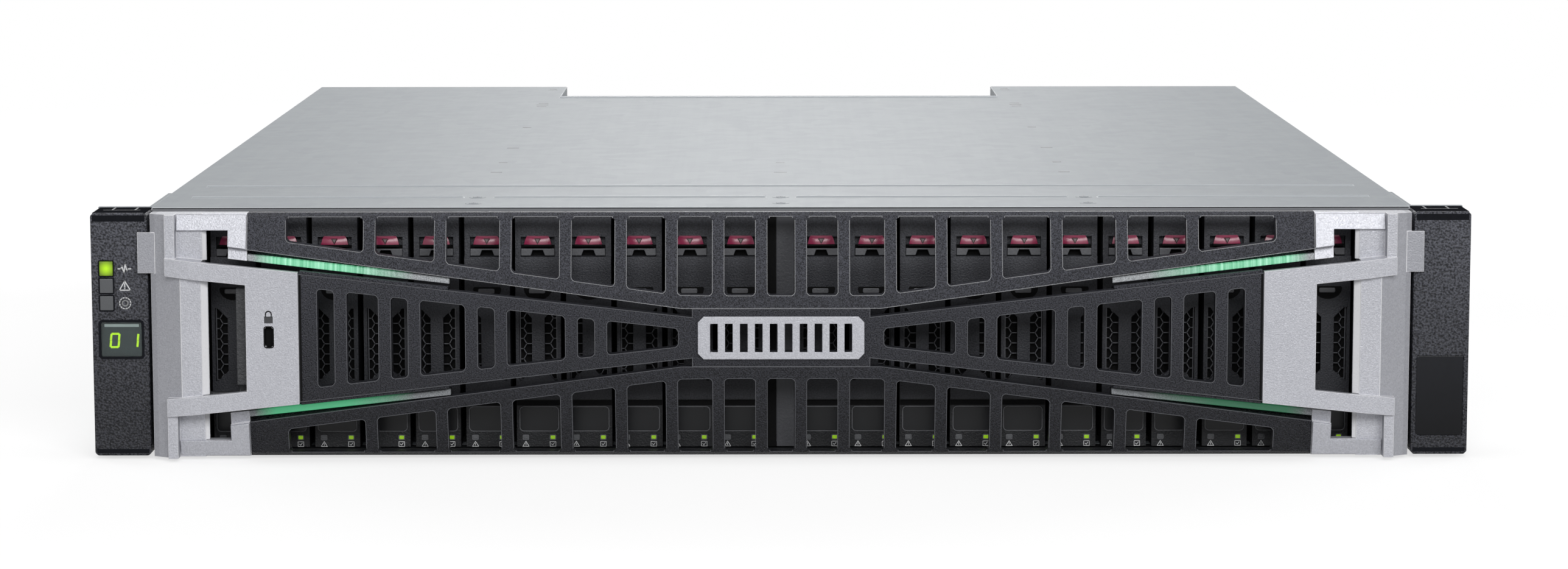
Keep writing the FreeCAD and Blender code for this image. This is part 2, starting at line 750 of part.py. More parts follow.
def cross_grille():
    """Bow-shaped front plate: a hub with two wings that widen towards the ends."""
    root, end = bow_edge(HUB_HALF_WIDTH), bow_edge(PLATE_IN)
    right = [
        (HUB_HALF_WIDTH, -HUB_HALF_HEIGHT), (HUB_HALF_WIDTH, -root), (PLATE_IN, -end),
        (PLATE_IN, end), (HUB_HALF_WIDTH, root), (HUB_HALF_WIDTH, HUB_HALF_HEIGHT),
    ]
    left = [(-x, -z) for x, z in right]
    back = GRILLE_THICK - BOW_FRONT
    plate = prism_xz(right + left, -BOW_FRONT, back)
    holes = [prism_xz(rectangle(0, 0, HUB_VENT_WIDTH, HUB_VENT_HEIGHT), -BOW_FRONT, back, CORNER_CUT)]
    for x0, x1 in bow_slots():
        h0, h1 = bow_edge(x0) - BOW_MARGIN, bow_edge(x1) - BOW_MARGIN
        hole = prism_xz([(x0, -h0), (x1, -h1), (x1, h1), (x0, h0)], -BOW_FRONT, back, CORNER_CUT)
        holes += [hole, flip_x(hole)]
    return cut(plate, holes)


def hub_plate():
    """Plain louvred plate on the hub."""
    front = -BOW_FRONT - HUB_PLATE_THICK
    outline = rectangle(0, 0, HUB_PLATE_WIDTH, HUB_PLATE_HEIGHT)
    plate = prism_xz(outline, front, -BOW_FRONT, HUB_PLATE_CORNER)
    height = HUB_VENT_HEIGHT
    count = int((HUB_VENT_WIDTH - HUB_LOUVRE_WIDTH) / HUB_LOUVRE_PITCH) + 1
    start = -HUB_LOUVRE_PITCH * (count - 1) / 2
    louvres = []
    for i in range(count):
        x = start + i * HUB_LOUVRE_PITCH
        louvres.append(prism_xz(rectangle(x, 0, HUB_LOUVRE_WIDTH, height), front, -BOW_FRONT))
    return cut(plate, louvres)


def slope_y(x):
    """Front of the outer sloping face of a bezel end."""
    grip = PLATE_FRONT - GRIP_SINK
    return -OUTER_FRONT - (grip - OUTER_FRONT) * (BEZEL_HALF - x) / SLOPE_WIDTH


def end_upper_half():
    """Pieces above the middle of a right-hand bezel end: arm, elbow, column, facet and walls."""
    start, end = arm_edge(STRIP_END), arm_edge(FRAME_OUT)
    band = prism_xz([
        (STRIP_END, start - ARM_HEIGHT), (FRAME_OUT, end - ARM_HEIGHT), (FRAME_OUT, end), (STRIP_END, start),
    ], -PLATE_FRONT, 0)
    arm = band.common(box(STRIP_END, CREASE, -PLATE_FRONT, PLATE_THICK - PLATE_FRONT, 0, BEZEL_RISE))
    elbow = band.common(prism_xy([
        (WINDOW_OUT, -PLATE_FRONT), (CREASE, -PLATE_FRONT), (FRAME_OUT, ELBOW_DROP - PLATE_FRONT),
        (FRAME_OUT, -BLOCK_BACK), (WINDOW_OUT, -BLOCK_BACK),
    ], 0, BEZEL_RISE))
    shelf_y = facet_y(SMALL_WINDOW_TOP)
    shoulder = arm_edge(WINDOW_OUT)
    block = prism_xy([
        (WINDOW_OUT, shelf_y), (FRAME_OUT, shelf_y), (FRAME_OUT, slope_y(FRAME_OUT)),
        (BEZEL_HALF, -OUTER_FRONT), (BEZEL_HALF, -BLOCK_BACK), (WINDOW_OUT, -BLOCK_BACK),
    ], shoulder - ARM_HEIGHT / 2, BEZEL_RISE)
    column = box(COLUMN_IN, FRAME_OUT, COLUMN_SINK - PLATE_FRONT, shelf_y, shoulder, BEZEL_RISE)
    facet = prism_xz([
        (STRIP_END, strip_edge(STRIP_END)), (FRAME_OUT, strip_edge(FRAME_OUT)),
        (FRAME_OUT, BEZEL_RISE), (STRIP_END, BEZEL_RISE),
    ], -PLATE_FRONT, 0).common(facet_slab(0, GRILLE_THICK))
    opening_in = STRIP_END + SMALL_WINDOW_INSET
    facet = facet.cut(box(opening_in, COLUMN_IN, -PLATE_FRONT, 0, HUB_HALF_HEIGHT, SMALL_WINDOW_TOP))
    filler = light_ledge(STRIP_END, opening_in)
    filler = filler.common(facet_slab(LIGHT_RECESS, LIGHT_RECESS + LIGHT_THICK + LEDGE_THICK))
    return [arm, elbow, block, column, facet, filler]


def bezel_end():
    """Right-hand end with finger window, crossed arms, small windows and the tab over the ear cap."""
    plate = prism_xz([
        (PLATE_IN, -arm_edge(PLATE_IN)), (STRIP_END, -arm_edge(STRIP_END)),
        (STRIP_END, arm_edge(STRIP_END)), (PLATE_IN, arm_edge(PLATE_IN)),
    ], -PLATE_FRONT, PLATE_THICK - PLATE_FRONT)
    grip = PLATE_FRONT - GRIP_SINK
    reach = arm_edge(WINDOW_OUT) - ARM_HEIGHT / 2
    middle = prism_xy([
        (WINDOW_OUT, -grip), (SLOPE_IN, -grip), (BEZEL_HALF, -OUTER_FRONT),
        (BEZEL_HALF, -BLOCK_BACK), (WINDOW_OUT, -BLOCK_BACK),
    ], -reach, reach)
    tab_back = -CAP_DEPTH - RUN_CLEAR
    tab_in, tab_out = BEZEL_HALF - TAB_ROOT, BEZEL_HALF + TAB_WIDTH
    tab = box(tab_in, tab_out, tab_back - TAB_THICK, tab_back, TAB_HIGH - TAB_HEIGHT, TAB_HIGH)
    upper = end_upper_half()
    return fuse([plate, middle, tab] + upper + [flip_z(piece) for piece in upper])


def latch_bar_front():
    return -LATCH_BACK - LATCH_BAR_DEPTH


def spring_post_x():
    return STRIP_END - LATCH_HIDE - SPRING_LENGTH


def bezel_end_left():
    """Mirrored end with the lock slot, the latch's channels and the post for its spring."""
    end = bezel_end()
    post_x = spring_post_x()
    plate_back = PLATE_THICK - PLATE_FRONT
    post = box(post_x - POST_THICK, post_x, plate_back, -LATCH_BACK, -SPRING_HALF, SPRING_HALF)
    lock = rectangle(STRIP_END - LOCK_INSET, LOCK_RISE, LOCK_WIDTH, LOCK_HEIGHT)
    cuts = [prism_xz(lock, -PLATE_FRONT, plate_back, LOCK_CORNER)]
    low = LATCH_ARM_LOW - RUN_CLEAR
    high = LATCH_ARM_LOW + LATCH_ARM_HEIGHT + RUN_CLEAR
    channel = box(WINDOW_OUT, BEZEL_HALF, latch_bar_front() - RUN_CLEAR, RUN_CLEAR - BLOCK_BACK, low, high)
    cuts += [channel, flip_z(channel)]
    return flip_x(cut(fuse([end, post]), cuts))


def bezel_latch():
    """Finger pad in the left window, with two arms that reach the ear cap behind the crossed arms."""
    x0, x1 = STRIP_END - LATCH_HIDE, STRIP_END + LATCH_SHOW
    top = LATCH_ARM_LOW + LATCH_ARM_HEIGHT
    pad = box(x0, x1, -LATCH_PAD_FRONT, -LATCH_BACK, -LATCH_PAD_HALF, LATCH_PAD_HALF)
    bar = box(x0, x1, latch_bar_front(), -LATCH_BACK, -top, top)
    arm = box(x1, BEZEL_HALF, latch_bar_front(), -LATCH_BACK, LATCH_ARM_LOW, top)
    return flip_x(fuse([pad, bar, arm, flip_z(arm)]))


def latch_spring():
    """Folded leaf spring between the post and the latch."""
    start = spring_post_x()
    step = SPRING_LENGTH / SPRING_FOLDS
    ys = (latch_bar_front(), -LATCH_BACK - SPRING_LEAF)
    path = [(start + i * step, ys[i % 2]) for i in range(SPRING_FOLDS + 1)]
    outline = path + [(x, y + SPRING_LEAF) for x, y in reversed(path)]
    return flip_x(prism_xy(outline, -SPRING_HALF, SPRING_HALF))


# Power modules, made about x = 0


def module_mouth(z):
    """Window in the front wall of a module for its plug on the midplane."""
    hole = rectangle(0, z, MODULE_PLUG_WIDTH + 2 * MOUTH_ROOM, MODULE_PLUG_HEIGHT + 2 * MOUTH_ROOM)
    return prism_xz(hole, MODULE_FRONT, MODULE_FRONT + SHEET)


def hexagon(x, z, flats):
    r = flats / math.sqrt(3)
    angles = [math.radians(60 * i + 30) for i in range(6)]
    return [(x + r * math.cos(a), z + r * math.sin(a)) for a in angles]


def hex_centres():
    """Centres of the fan grille's holes: a hexagonal patch that stays inside the fan's bore."""
    pitch = HEX_FLATS + HEX_WEB
    rings = int((FAN_BAY_HALF - HEX_FLATS / math.sqrt(3)) / pitch)
    centres = []
    for q in range(-rings, rings + 1):
        for r in range(max(-rings, -q - rings), min(rings, rings - q) + 1):
            centres.append((FAN_SHIFT + pitch * (q + r / 2), PSU_MID_Z + pitch * r * math.sqrt(3) / 2))
    return centres


def hinge_place():
    """Handle hinge of a power module: distance to the rear and height."""
    return BODY_DEPTH + HANDLE_GAP + HANDLE_BAR / 2, PSU_MID_Z + HANDLE_RISE


def psu_inlet():
    """Socket pocket with two cut corners, and its three contact blades."""
    z = PSU_MID_Z - INLET_DROP
    w, h, c = INLET_WIDTH / 2, INLET_HEIGHT / 2, INLET_CHAMFER
    outline = [(-w, -h), (w, -h), (w, h - c), (w - c, h), (c - w, h), (-w, h - c)]
    outline = [(INLET_SHIFT + x, z + dz) for x, dz in outline]
    floor = BODY_DEPTH - INLET_DEPTH
    pocket = prism_xz(outline, floor, BODY_DEPTH)
    blades = []
    for dx, dz in ((-BLADE_PITCH, 0), (0, EARTH_RISE), (BLADE_PITCH, 0)):
        x = INLET_SHIFT + dx
        blades.append(plug(x, z + dz, BLADE_WIDTH, BLADE_HEIGHT, floor, floor + BLADE_LENGTH))
    return pocket, blades


def psu_latch_place():
    return INLET_SHIFT, FREE_HIGH - PSU_LATCH_DROP


def power_module():
    """Folded case with a bulkhead that carries the fan's shaft, and a pierced rear face."""
    half = PSU_WIDTH / 2
    inner = half - SHEET
    floor, roof = FREE_LOW + SHEET, FREE_HIGH - SHEET
    body = box(-half, half, MODULE_FRONT, BODY_DEPTH, FREE_LOW, FREE_HIGH)
    face_back = BODY_DEPTH - FACE_THICK
    pocket, blades = psu_inlet()
    cuts = [
        box(-inner, inner, MODULE_FRONT + SHEET, FAN_BAY_FRONT - BULKHEAD, floor, roof),
        box(FAN_SHIFT - FAN_BAY_HALF, inner, FAN_BAY_FRONT, face_back, floor, roof),
        module_mouth(PSU_MID_Z), pocket,
    ]
    for x, z in hex_centres():
        cuts.append(prism_xz(hexagon(x, z, HEX_FLATS), face_back, BODY_DEPTH))
    x, z = psu_latch_place()
    low, high = z - PSU_LATCH_HEIGHT / 2 - RUN_CLEAR, z + PSU_LATCH_HEIGHT / 2 + RUN_CLEAR
    left = x - PSU_LATCH_WIDTH / 2 - RUN_CLEAR
    right = x + PSU_LATCH_WIDTH / 2 + PSU_LATCH_TRAVEL + RUN_CLEAR
    cuts.append(box(left, right, BODY_DEPTH - PSU_LATCH_DEPTH - RUN_CLEAR, BODY_DEPTH, low, high))
    shaft_foot = (FAN_SHIFT, FAN_BAY_FRONT, PSU_MID_Z)
    shaft = cylinder(SHAFT_R, FAN_STANDOFF + SHAFT_LENGTH, shaft_foot, (0, 1, 0))
    adds = blades + [shaft]
    hinge_y, hinge_z = hinge_place()
    arm_out = HANDLE_WIDTH / 2
    pin_length = RUN_CLEAR + HANDLE_BAR
    for side in (-1, 1):
        lug_in = INLET_SHIFT + side * (arm_out + RUN_CLEAR)
        lug_out = lug_in + side * LUG_THICK
        adds.append(box(min(lug_in, lug_out), max(lug_in, lug_out), BODY_DEPTH, REAR_REACH,
                        hinge_z - LUG_ROUND, hinge_z + LUG_ROUND))
        adds.append(cylinder(HINGE_PIN_R, pin_length, (lug_in, hinge_y, hinge_z), (-side, 0, 0)))
    return fuse([cut(body, cuts)] + adds)


def psu_handle():
    """Bail that folds against the rear face and swings out on two pins."""
    hinge_y, hinge_z = hinge_place()
    out, inner = HANDLE_WIDTH / 2, HANDLE_WIDTH / 2 - HANDLE_BAR
    latch_foot = psu_latch_place()[1] - PSU_LATCH_HEIGHT / 2
    foot, top = -HANDLE_BAR / 2, latch_foot - HANDLE_LATCH_GAP - hinge_z
    outline = [
        (-out, foot), (-inner, foot), (-inner, top - HANDLE_BAR), (inner, top - HANDLE_BAR),
        (inner, foot), (out, foot), (out, top), (-out, top),
    ]
    outline = [(INLET_SHIFT + x, hinge_z + z) for x, z in outline]
    bail = prism_xz(outline, BODY_DEPTH + HANDLE_GAP, BODY_DEPTH + HANDLE_GAP + HANDLE_BAR)
    start = (INLET_SHIFT - out, hinge_y, hinge_z)
    bore = cylinder(HINGE_PIN_R + PIN_CLEAR, HANDLE_WIDTH, start, (1, 0, 0))
    return cut(bail, [bore])


def psu_latch():
    x, z = psu_latch_place()
    outline = rectangle(x, z, PSU_LATCH_WIDTH, PSU_LATCH_HEIGHT)
    return prism_xz(outline, BODY_DEPTH - PSU_LATCH_DEPTH, BODY_DEPTH + PSU_LATCH_PROUD)


def psu_fan():
    """Rotor with a many-sided drum and flat pitched blades, on the module's fixed shaft."""
    start = FAN_BAY_FRONT + FAN_STANDOFF
    centre = (FAN_SHIFT, start, PSU_MID_Z)
    sides = [2 * math.pi * i / (2 * FAN_BLADES) for i in range(2 * FAN_BLADES)]
    drum = [(FAN_SHIFT + FAN_HUB_R * math.cos(a), PSU_MID_Z + FAN_HUB_R * math.sin(a)) for a in sides]
    hub = prism_xz(drum, start, start + FAN_DEPTH)
    chord = (FAN_DEPTH - 2 * FAN_BLADE_THICK) / math.cos(math.radians(FAN_PITCH))
    t = FAN_BLADE_THICK / 2
    pieces = [hub]
    for i in range(FAN_BLADES):
        blade = box(-t, t, -chord / 2, chord / 2, FAN_HUB_R - FAN_BLADE_THICK, FAN_TIP_R - FAN_BLADE_THICK)
        blade.rotate(vector(0, 0, 0), vector(0, 0, 1), FAN_PITCH)
        blade.rotate(vector(0, 0, 0), vector(0, 1, 0), 360.0 * i / FAN_BLADES)
        pieces.append(blade.translated(vector(FAN_SHIFT, start + FAN_DEPTH / 2, PSU_MID_Z)))
    bore = cylinder(SHAFT_R + PIN_CLEAR, SHAFT_LENGTH + FIT_CLEAR, centre, (0, 1, 0))
    return cut(fuse(pieces), [bore])


# Controllers, made about the middle of their height


def controller_ports():
    """Sockets of the rear panel as (centre, width, height)."""
    first = CAGE_START + CAGE_WIDTH / 2 - CTRL_HALF_WIDTH
    ports = [(first + i * CAGE_PITCH, CAGE_WIDTH, CAGE_HEIGHT) for i in range(CAGE_COUNT)]
    return ports + [(JACK_SHIFT, JACK_WIDTH, JACK_HEIGHT), (LINK_SHIFT, LINK_WIDTH, LINK_HEIGHT)]


def lever_pivot():
    return CTRL_HALF_WIDTH - CTRL_PIVOT_INSET, CTRL_REAR + CTRL_LEVER_GAP + CTRL_LEVER_THICK / 2


def controller():
    """Folded case with a row of sockets in its rear wall, and two lugs that hold its lever."""
    half = CTRL_HEIGHT / 2
    inner = CTRL_HALF_WIDTH - SHEET
    body = box(-CTRL_HALF_WIDTH, CTRL_HALF_WIDTH, MODULE_FRONT, CTRL_REAR, -half, half)
    socket_floor = CTRL_REAR - PORT_DEPTH
    cuts = [
        box(-inner, inner, MODULE_FRONT + SHEET, socket_floor - SHEET, SHEET - half, half - SHEET),
        module_mouth(0),
    ]
    for x, width, height in controller_ports():
        cuts.append(prism_xz(rectangle(x, PORT_RISE, width, height), socket_floor, CTRL_REAR))
    x, y = lever_pivot()
    low = CTRL_LEVER_RISE - half
    high = low + CTRL_LEVER_HEIGHT
    reach = y + CTRL_BOSS_R
    lugs = []
    for z0 in (low - RUN_CLEAR - CTRL_LUG, high + RUN_CLEAR):
        lugs.append(box(x - CTRL_BOSS_R, x + CTRL_BOSS_R, CTRL_REAR, reach, z0, z0 + CTRL_LUG))
    pin = cylinder(CTRL_PIN_R, high - low + 2 * RUN_CLEAR, (x, y, low - RUN_CLEAR), (0, 0, 1))
    return fuse([cut(body, cuts)] + lugs + [pin])


def controller_lever():
    x, y = lever_pivot()
    low = CTRL_LEVER_RISE - CTRL_HEIGHT / 2
    t = CTRL_LEVER_THICK / 2
    bar = box(x - CTRL_LEVER_LENGTH, x, y - t, y + t, low, low + CTRL_LEVER_HEIGHT)
    boss = cylinder(CTRL_BOSS_R - RUN_CLEAR, CTRL_LEVER_HEIGHT, (x, y, low), (0, 0, 1))
    bore = cylinder(CTRL_PIN_R + PIN_CLEAR, CTRL_LEVER_HEIGHT, (x, y, low), (0, 0, 1))
    return cut(fuse([bar, boss]), [bore])


# Every piece is written to its own file

os.makedirs("parts", exist_ok=True)

save("chassis_tray", [chassis_tray()])
save("top_cover", [top_cover()])
save("lower_drive_guide", [drive_guide(SHEET, GUIDE_LOW, GUIDE_LOW + GUIDE_RIB)])
save("upper_drive_guide", [drive_guide(GUIDE_HIGH, GUIDE_HIGH + GUIDE_THICK, GUIDE_HIGH - GUIDE_RIB)])
save("centre_divider", [centre_divider()])
save("midplane_board", [midplane_board()])
save("midplane_connectors", midplane_connectors())
save("module_bay_walls", [module_bay_walls()])

save("ear_bracket_right", [ear_bracket()])
save("ear_bracket_left", [flip_x(ear_bracket())])
save("ear_cap_right", [ear_cap_right()])
save("ear_cap_left", [ear_cap_left()])
save("status_lenses", status_lenses())
save("display_window", [display_window()])
save("display_module", [display_module()])

drive_pieces = [drive_carrier(), drive_disk(), drive_lever(), drive_button()]
for number, bay in enumerate(bay_centres(), start=1):
    save("drive_%02d" % number, [piece.translated(vector(bay, 0, 0)) for piece in drive_pieces])

strip = grille_strip()
save("upper_grille", [raise_mid(strip)])
save("lower_grille", [raise_mid(flip_z(strip))])
save("cross_grille", [raise_mid(cross_grille())])
save("hub_plate", [raise_mid(hub_plate())])
save("bezel_end_right", [raise_mid(bezel_end())])
save("bezel_end_left", [raise_mid(bezel_end_left())])
save("light_strips", light_strips())
save("bezel_latch", [raise_mid(bezel_latch())])
save("latch_spring", [raise_mid(latch_spring())])

psu_pieces = {"": power_module(), "_handle": psu_handle(), "_latch": psu_latch(), "_fan": psu_fan()}
for side, place in (("left", -PSU_MID), ("right", PSU_MID)):
    for suffix, piece in psu_pieces.items():
        save("psu_" + side + suffix, [piece.translated(vector(place, 0, 0))])

for level, mid in (("upper", CTRL_UPPER_MID), ("lower", CTRL_LOWER_MID)):
    save("controller_" + level, [controller().translated(vector(0, 0, mid))])
    save("controller_" + level + "_lever", [controller_lever().translated(vector(0, 0, mid))])
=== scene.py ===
import json
import math

import bmesh
import bpy
from mathutils import Euler, Matrix, Vector


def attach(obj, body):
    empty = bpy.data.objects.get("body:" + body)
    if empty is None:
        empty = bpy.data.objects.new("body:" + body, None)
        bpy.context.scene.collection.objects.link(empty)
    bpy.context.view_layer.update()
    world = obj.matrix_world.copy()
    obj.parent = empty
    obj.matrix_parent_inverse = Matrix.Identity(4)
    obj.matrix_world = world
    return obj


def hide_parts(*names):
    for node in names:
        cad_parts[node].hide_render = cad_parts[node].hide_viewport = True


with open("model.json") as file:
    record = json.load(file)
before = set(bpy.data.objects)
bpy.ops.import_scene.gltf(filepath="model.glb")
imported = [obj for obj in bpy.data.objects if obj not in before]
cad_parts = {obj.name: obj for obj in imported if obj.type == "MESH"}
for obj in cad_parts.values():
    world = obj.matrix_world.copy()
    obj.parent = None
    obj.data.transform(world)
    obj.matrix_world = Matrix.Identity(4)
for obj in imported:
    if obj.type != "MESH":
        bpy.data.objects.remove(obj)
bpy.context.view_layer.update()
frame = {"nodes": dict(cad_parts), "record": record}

SCENE = bpy.context.scene
DRIVES = ["drive_%02d" % i for i in range(1, 25)]
SIDES = (("left", -1), ("right", 1))

# Sizes and places are in millimetres, with y counted backwards from the rack flange

FLANGE_Y = -253.0
MID_Z = 43.7
LEAN = math.radians(15.0)


def mm(x, y, z):
    """A place in millimetres as metres of the shared frame."""
    return Vector((x / 1000, (y + FLANGE_Y) / 1000, z / 1000))


def rgb(code):
    """Hex colour to linear values."""
    out = []
    for i in (0, 2, 4):
        c = int(code[i:i + 2], 16) / 255
        out.append(c / 12.92 if c <= 0.04045 else ((c + 0.055) / 1.055) ** 2.4)
    return (*out, 1.0)


def shade(code, k):
    """Hex colour made darker or paler, as linear values."""
    return (*(min(1.0, c * k) for c in rgb(code)[:3]), 1.0)


# Materials

MATS = {}
WHITE, BLACK = (1.0, 1.0, 1.0, 1.0), (0.0, 0.0, 0.0, 1.0)
MIX_FACTOR, MIX_A, MIX_B, MIX_RESULT = 0, 6, 7, 2

# Places where a finish changes

TAB_X = (217.9, 218.5)
# Drive fronts: painted shade below LEVER_FOOT, painted light above CAP_FOOT.
LEVER_FOOT, CAP_FOOT = (18.8, 19.1), (64.0, 69.0)
STRIP_MIDDLE, GLOW_INNER, GLOW_OUTER, HALVES = (40.0, 48.0), (128.0, 152.0), (184.5, 177.0), (-10.0, 10.0)
LIT_LENS, LIT_ABOVE, LIT_SPOT = (-236.0, -18.3, 67.1), 64.1, (0.4, 2.8)


class Nodes:
    """Small helper round one node tree and the shader that it ends in."""

    def __init__(self, owner, end, shader):
        owner.use_nodes = True
        self.tree = owner.node_tree
        self.tree.nodes.clear()
        self.shader = self.add(shader)
        self.put(self.shader.outputs[0], self.add(end).inputs["Surface"])

    def add(self, kind, props=None, **values):
        node = self.tree.nodes.new("ShaderNode" + kind)
        for key, value in (props or {}).items():
            setattr(node, key, value)
        for key, value in values.items():
            self.put(value, node.inputs[key.replace("_", " ")])
        return node

    def put(self, value, socket):
        """An output is linked to the socket; a constant is set on it."""
        if isinstance(value, bpy.types.NodeSocket):
            self.tree.links.new(value, socket)
        else:
            socket.default_value = value

    def feed(self, **values):
        """Inputs of the shader, by name."""
        for key, value in values.items():
            self.put(value, self.shader.inputs[key.replace("_", " ")])

    def coords(self, stretch=(1, 1, 1)):
        """The piece's own coordinates, stretched where a grain has a direction."""
        tex = self.add("TexCoord")
        return self.add("Mapping", Vector=tex.outputs["Object"], Scale=stretch).outputs["Vector"]

    def axes(self, kind="Object"):
        """Outputs X, Y and Z of the piece's own coordinates or normals."""
        tex = self.add("TexCoord")
        return self.add("SeparateXYZ", Vector=tex.outputs[kind]).outputs

    def noise(self, vector, scale, detail=3.0, rough=0.55):
        node = self.add("TexNoise", Vector=vector, Scale=scale, Detail=detail, Roughness=rough)
        return node.outputs["Fac"]

    def cells(self, vector, scale):
        """A grey of its own for each cell."""
        cell = self.add("TexVoronoi", Vector=vector, Scale=scale)
        return self.add("RGBToBW", Color=cell.outputs["Color"]).outputs["Val"]

    def span(self, value, low, high, to_low=0.0, to_high=1.0):
        node = self.add("MapRange", Value=value, From_Min=low, From_Max=high,
                        To_Min=to_low, To_Max=to_high)
        return node.outputs["Result"]

    def zone(self, value, low, high, to_low=0.0, to_high=1.0):
        """A span between two places in millimetres."""
        return self.span(value, low / 1000, high / 1000, to_low, to_high)

    def math(self, kind, a, b=0.0):
        node = self.add("Math", {"operation": kind})
        self.put(a, node.inputs[0])
        self.put(b, node.inputs[1])
        return node.outputs["Value"]

    def times(self, a, b):
        return self.math("MULTIPLY", a, b)

    def size(self, value):
        return self.math("ABSOLUTE", value)

    def measure(self, kind, start=(0, 0, 0)):
        """Length of the piece's own coordinates, or their distance from a place."""
        node = self.add("VectorMath", {"operation": kind})
        self.put(self.coords(), node.inputs[0])
        self.put(start, node.inputs[1])
        return node.outputs["Value"]

    def mean(self, a, b, share):
        return self.math("ADD", self.times(a, share), self.times(b, 1 - share))

    def blend(self, factor, a, b):
        node = self.add("Mix", {"data_type": "RGBA"})
        for index, value in ((MIX_FACTOR, factor), (MIX_A, a), (MIX_B, b)):
            self.put(value, node.inputs[index])
        return node.outputs[MIX_RESULT]

    def bump(self, height, depth):
        """Fine relief, its depth in millimetres."""
        self.feed(Normal=self.add("Bump", Height=height, Distance=depth / 1000).outputs["Normal"])

    def seen(self):
        """1 where the background is looked at: straight, in a mirror or through glass."""
        path = self.add("LightPath").outputs
        direct = self.math("MAXIMUM", path["Is Camera Ray"], path["Is Glossy Ray"])
        return self.math("MAXIMUM", direct, path["Is Transmission Ray"])


def surface(name):
    """A new material, kept under its name."""
    MATS[name] = bpy.data.materials.new(name)
    return Nodes(MATS[name], "OutputMaterial", "BsdfPrincipled")


def finish(name, colour, rough, metal=0.0, grain=1800, depth=0.12, vary=0.12, rough_vary=0.08,
           stretch=(1, 1, 1), coat=0.0, specular=0.5, share=0.5, crisp=0.2, painted_shade=None):
    """A moulded or metal surface: broad tone drift, fine grain in tone, bump and roughness.

    share is the grain's part in the tone and crisp half the width of its step. The last argument
    paints shade on the piece, darker downwards: a low and a high place, and the tone's factor at each.
    """
    n = surface(name)
    detail, fray = (1.0, 0.4) if crisp < 0.15 else (3.0, 0.55)
    fine = n.noise(n.coords(stretch), grain, detail, fray)
    drift = n.noise(n.coords(), scale=22, detail=4.0, rough=0.6)
    mixed = n.mean(fine, drift, share)
    speckle = n.span(mixed, 0.5 - crisp, 0.5 + crisp)
    # Painted shade: a darker copy of the tone low down and a paler one high up, blended between.
    low, high, dark, pale = painted_shade or (0, 0, 1.0, 1.0)
    tones = []
    for k in (dark, pale):
        tones.append(n.blend(speckle, shade(colour, (1 - vary) * k), shade(colour, (1 + vary) * k)))
    tone = n.blend(n.zone(n.axes()["Z"], low, high), *tones) if painted_shade else tones[0]
    n.feed(Base_Color=tone, Roughness=n.span(mixed, 0.25, 0.75, rough - rough_vary, rough + rough_vary),
           Metallic=metal, Specular_IOR_Level=specular, Coat_Weight=coat)
    n.bump(fine, depth)


def galvanised():
    """Zinc-coated sheet: faint spangle, rolling lines along the sheet and a soft satin sheen."""
    n = surface("galvanised_steel")
    spangle = n.cells(n.coords(), scale=130)
    lines = n.noise(n.coords((40, 1, 1)), scale=9, detail=5.0, rough=0.6)
    mixed = n.mean(spangle, lines, 0.5)
    n.feed(Base_Color=n.blend(n.span(mixed, 0.2, 0.8), rgb("8d9297"), rgb("92979b")),
           Roughness=n.span(mixed, 0.2, 0.8, 0.53, 0.5), Metallic=0.08, Specular_IOR_Level=0.12)
    n.bump(n.noise(n.coords(), scale=1500), 0.03)


def silver():
    """Silver lacquer on moulded plastic: small bright flakes on a satin base, painted shade on faces turned
    sideways, and darker tabs.
    """
    n = surface("bezel_silver")
    flakes = n.cells(n.coords(), scale=2600)
    drift = n.noise(n.coords(), scale=18, detail=4.0)
    tone = n.blend(n.span(n.mean(flakes, drift, 0.7), 0.2, 0.8), rgb("aeafb6"), rgb("c6c7ce"))
    # Painted shade: faces turned sideways get the darker tone.
    side_shade = n.span(n.size(n.axes("Normal")["X"]), 0.3, 0.48, 0.0, 0.36)
    tab = n.zone(n.size(n.axes()["X"]), *TAB_X, 0.0, 0.5)
    n.feed(Base_Color=n.blend(n.math("MAXIMUM", side_shade, tab), tone, rgb("76777d")),
           Roughness=n.span(flakes, 0.1, 0.9, 0.42, 0.32), Metallic=0.24)
    n.bump(n.noise(n.coords(), scale=1900), 0.14)


def carrier():
    """Moulded drive front with a leather grain, with painted light and shade: the cap painted lighter and the
    label zone painted darker than the lever.
    """
    n = surface("carrier_grey")
    fine = n.noise(n.coords(), scale=1700)
    height = n.axes()["Z"]
    # Painted shade below the lever's foot round the label; painted light from the cap's foot up.
    lever = n.zone(height, *LEVER_FOOT)
    cap = n.zone(height, *CAP_FOOT)
    tones = []
    for k in (0.68, 1.32):
        upper = n.blend(cap, shade("2f3035", k), shade("424348", k))
        tones.append(n.blend(lever, shade("18191c", k), upper))
    n.feed(Base_Color=n.blend(n.span(fine, 0.35, 0.65), *tones),
           Roughness=n.span(fine, 0.25, 0.75, 0.34, 0.5), Specular_IOR_Level=0.25)
    n.bump(fine, 0.2)


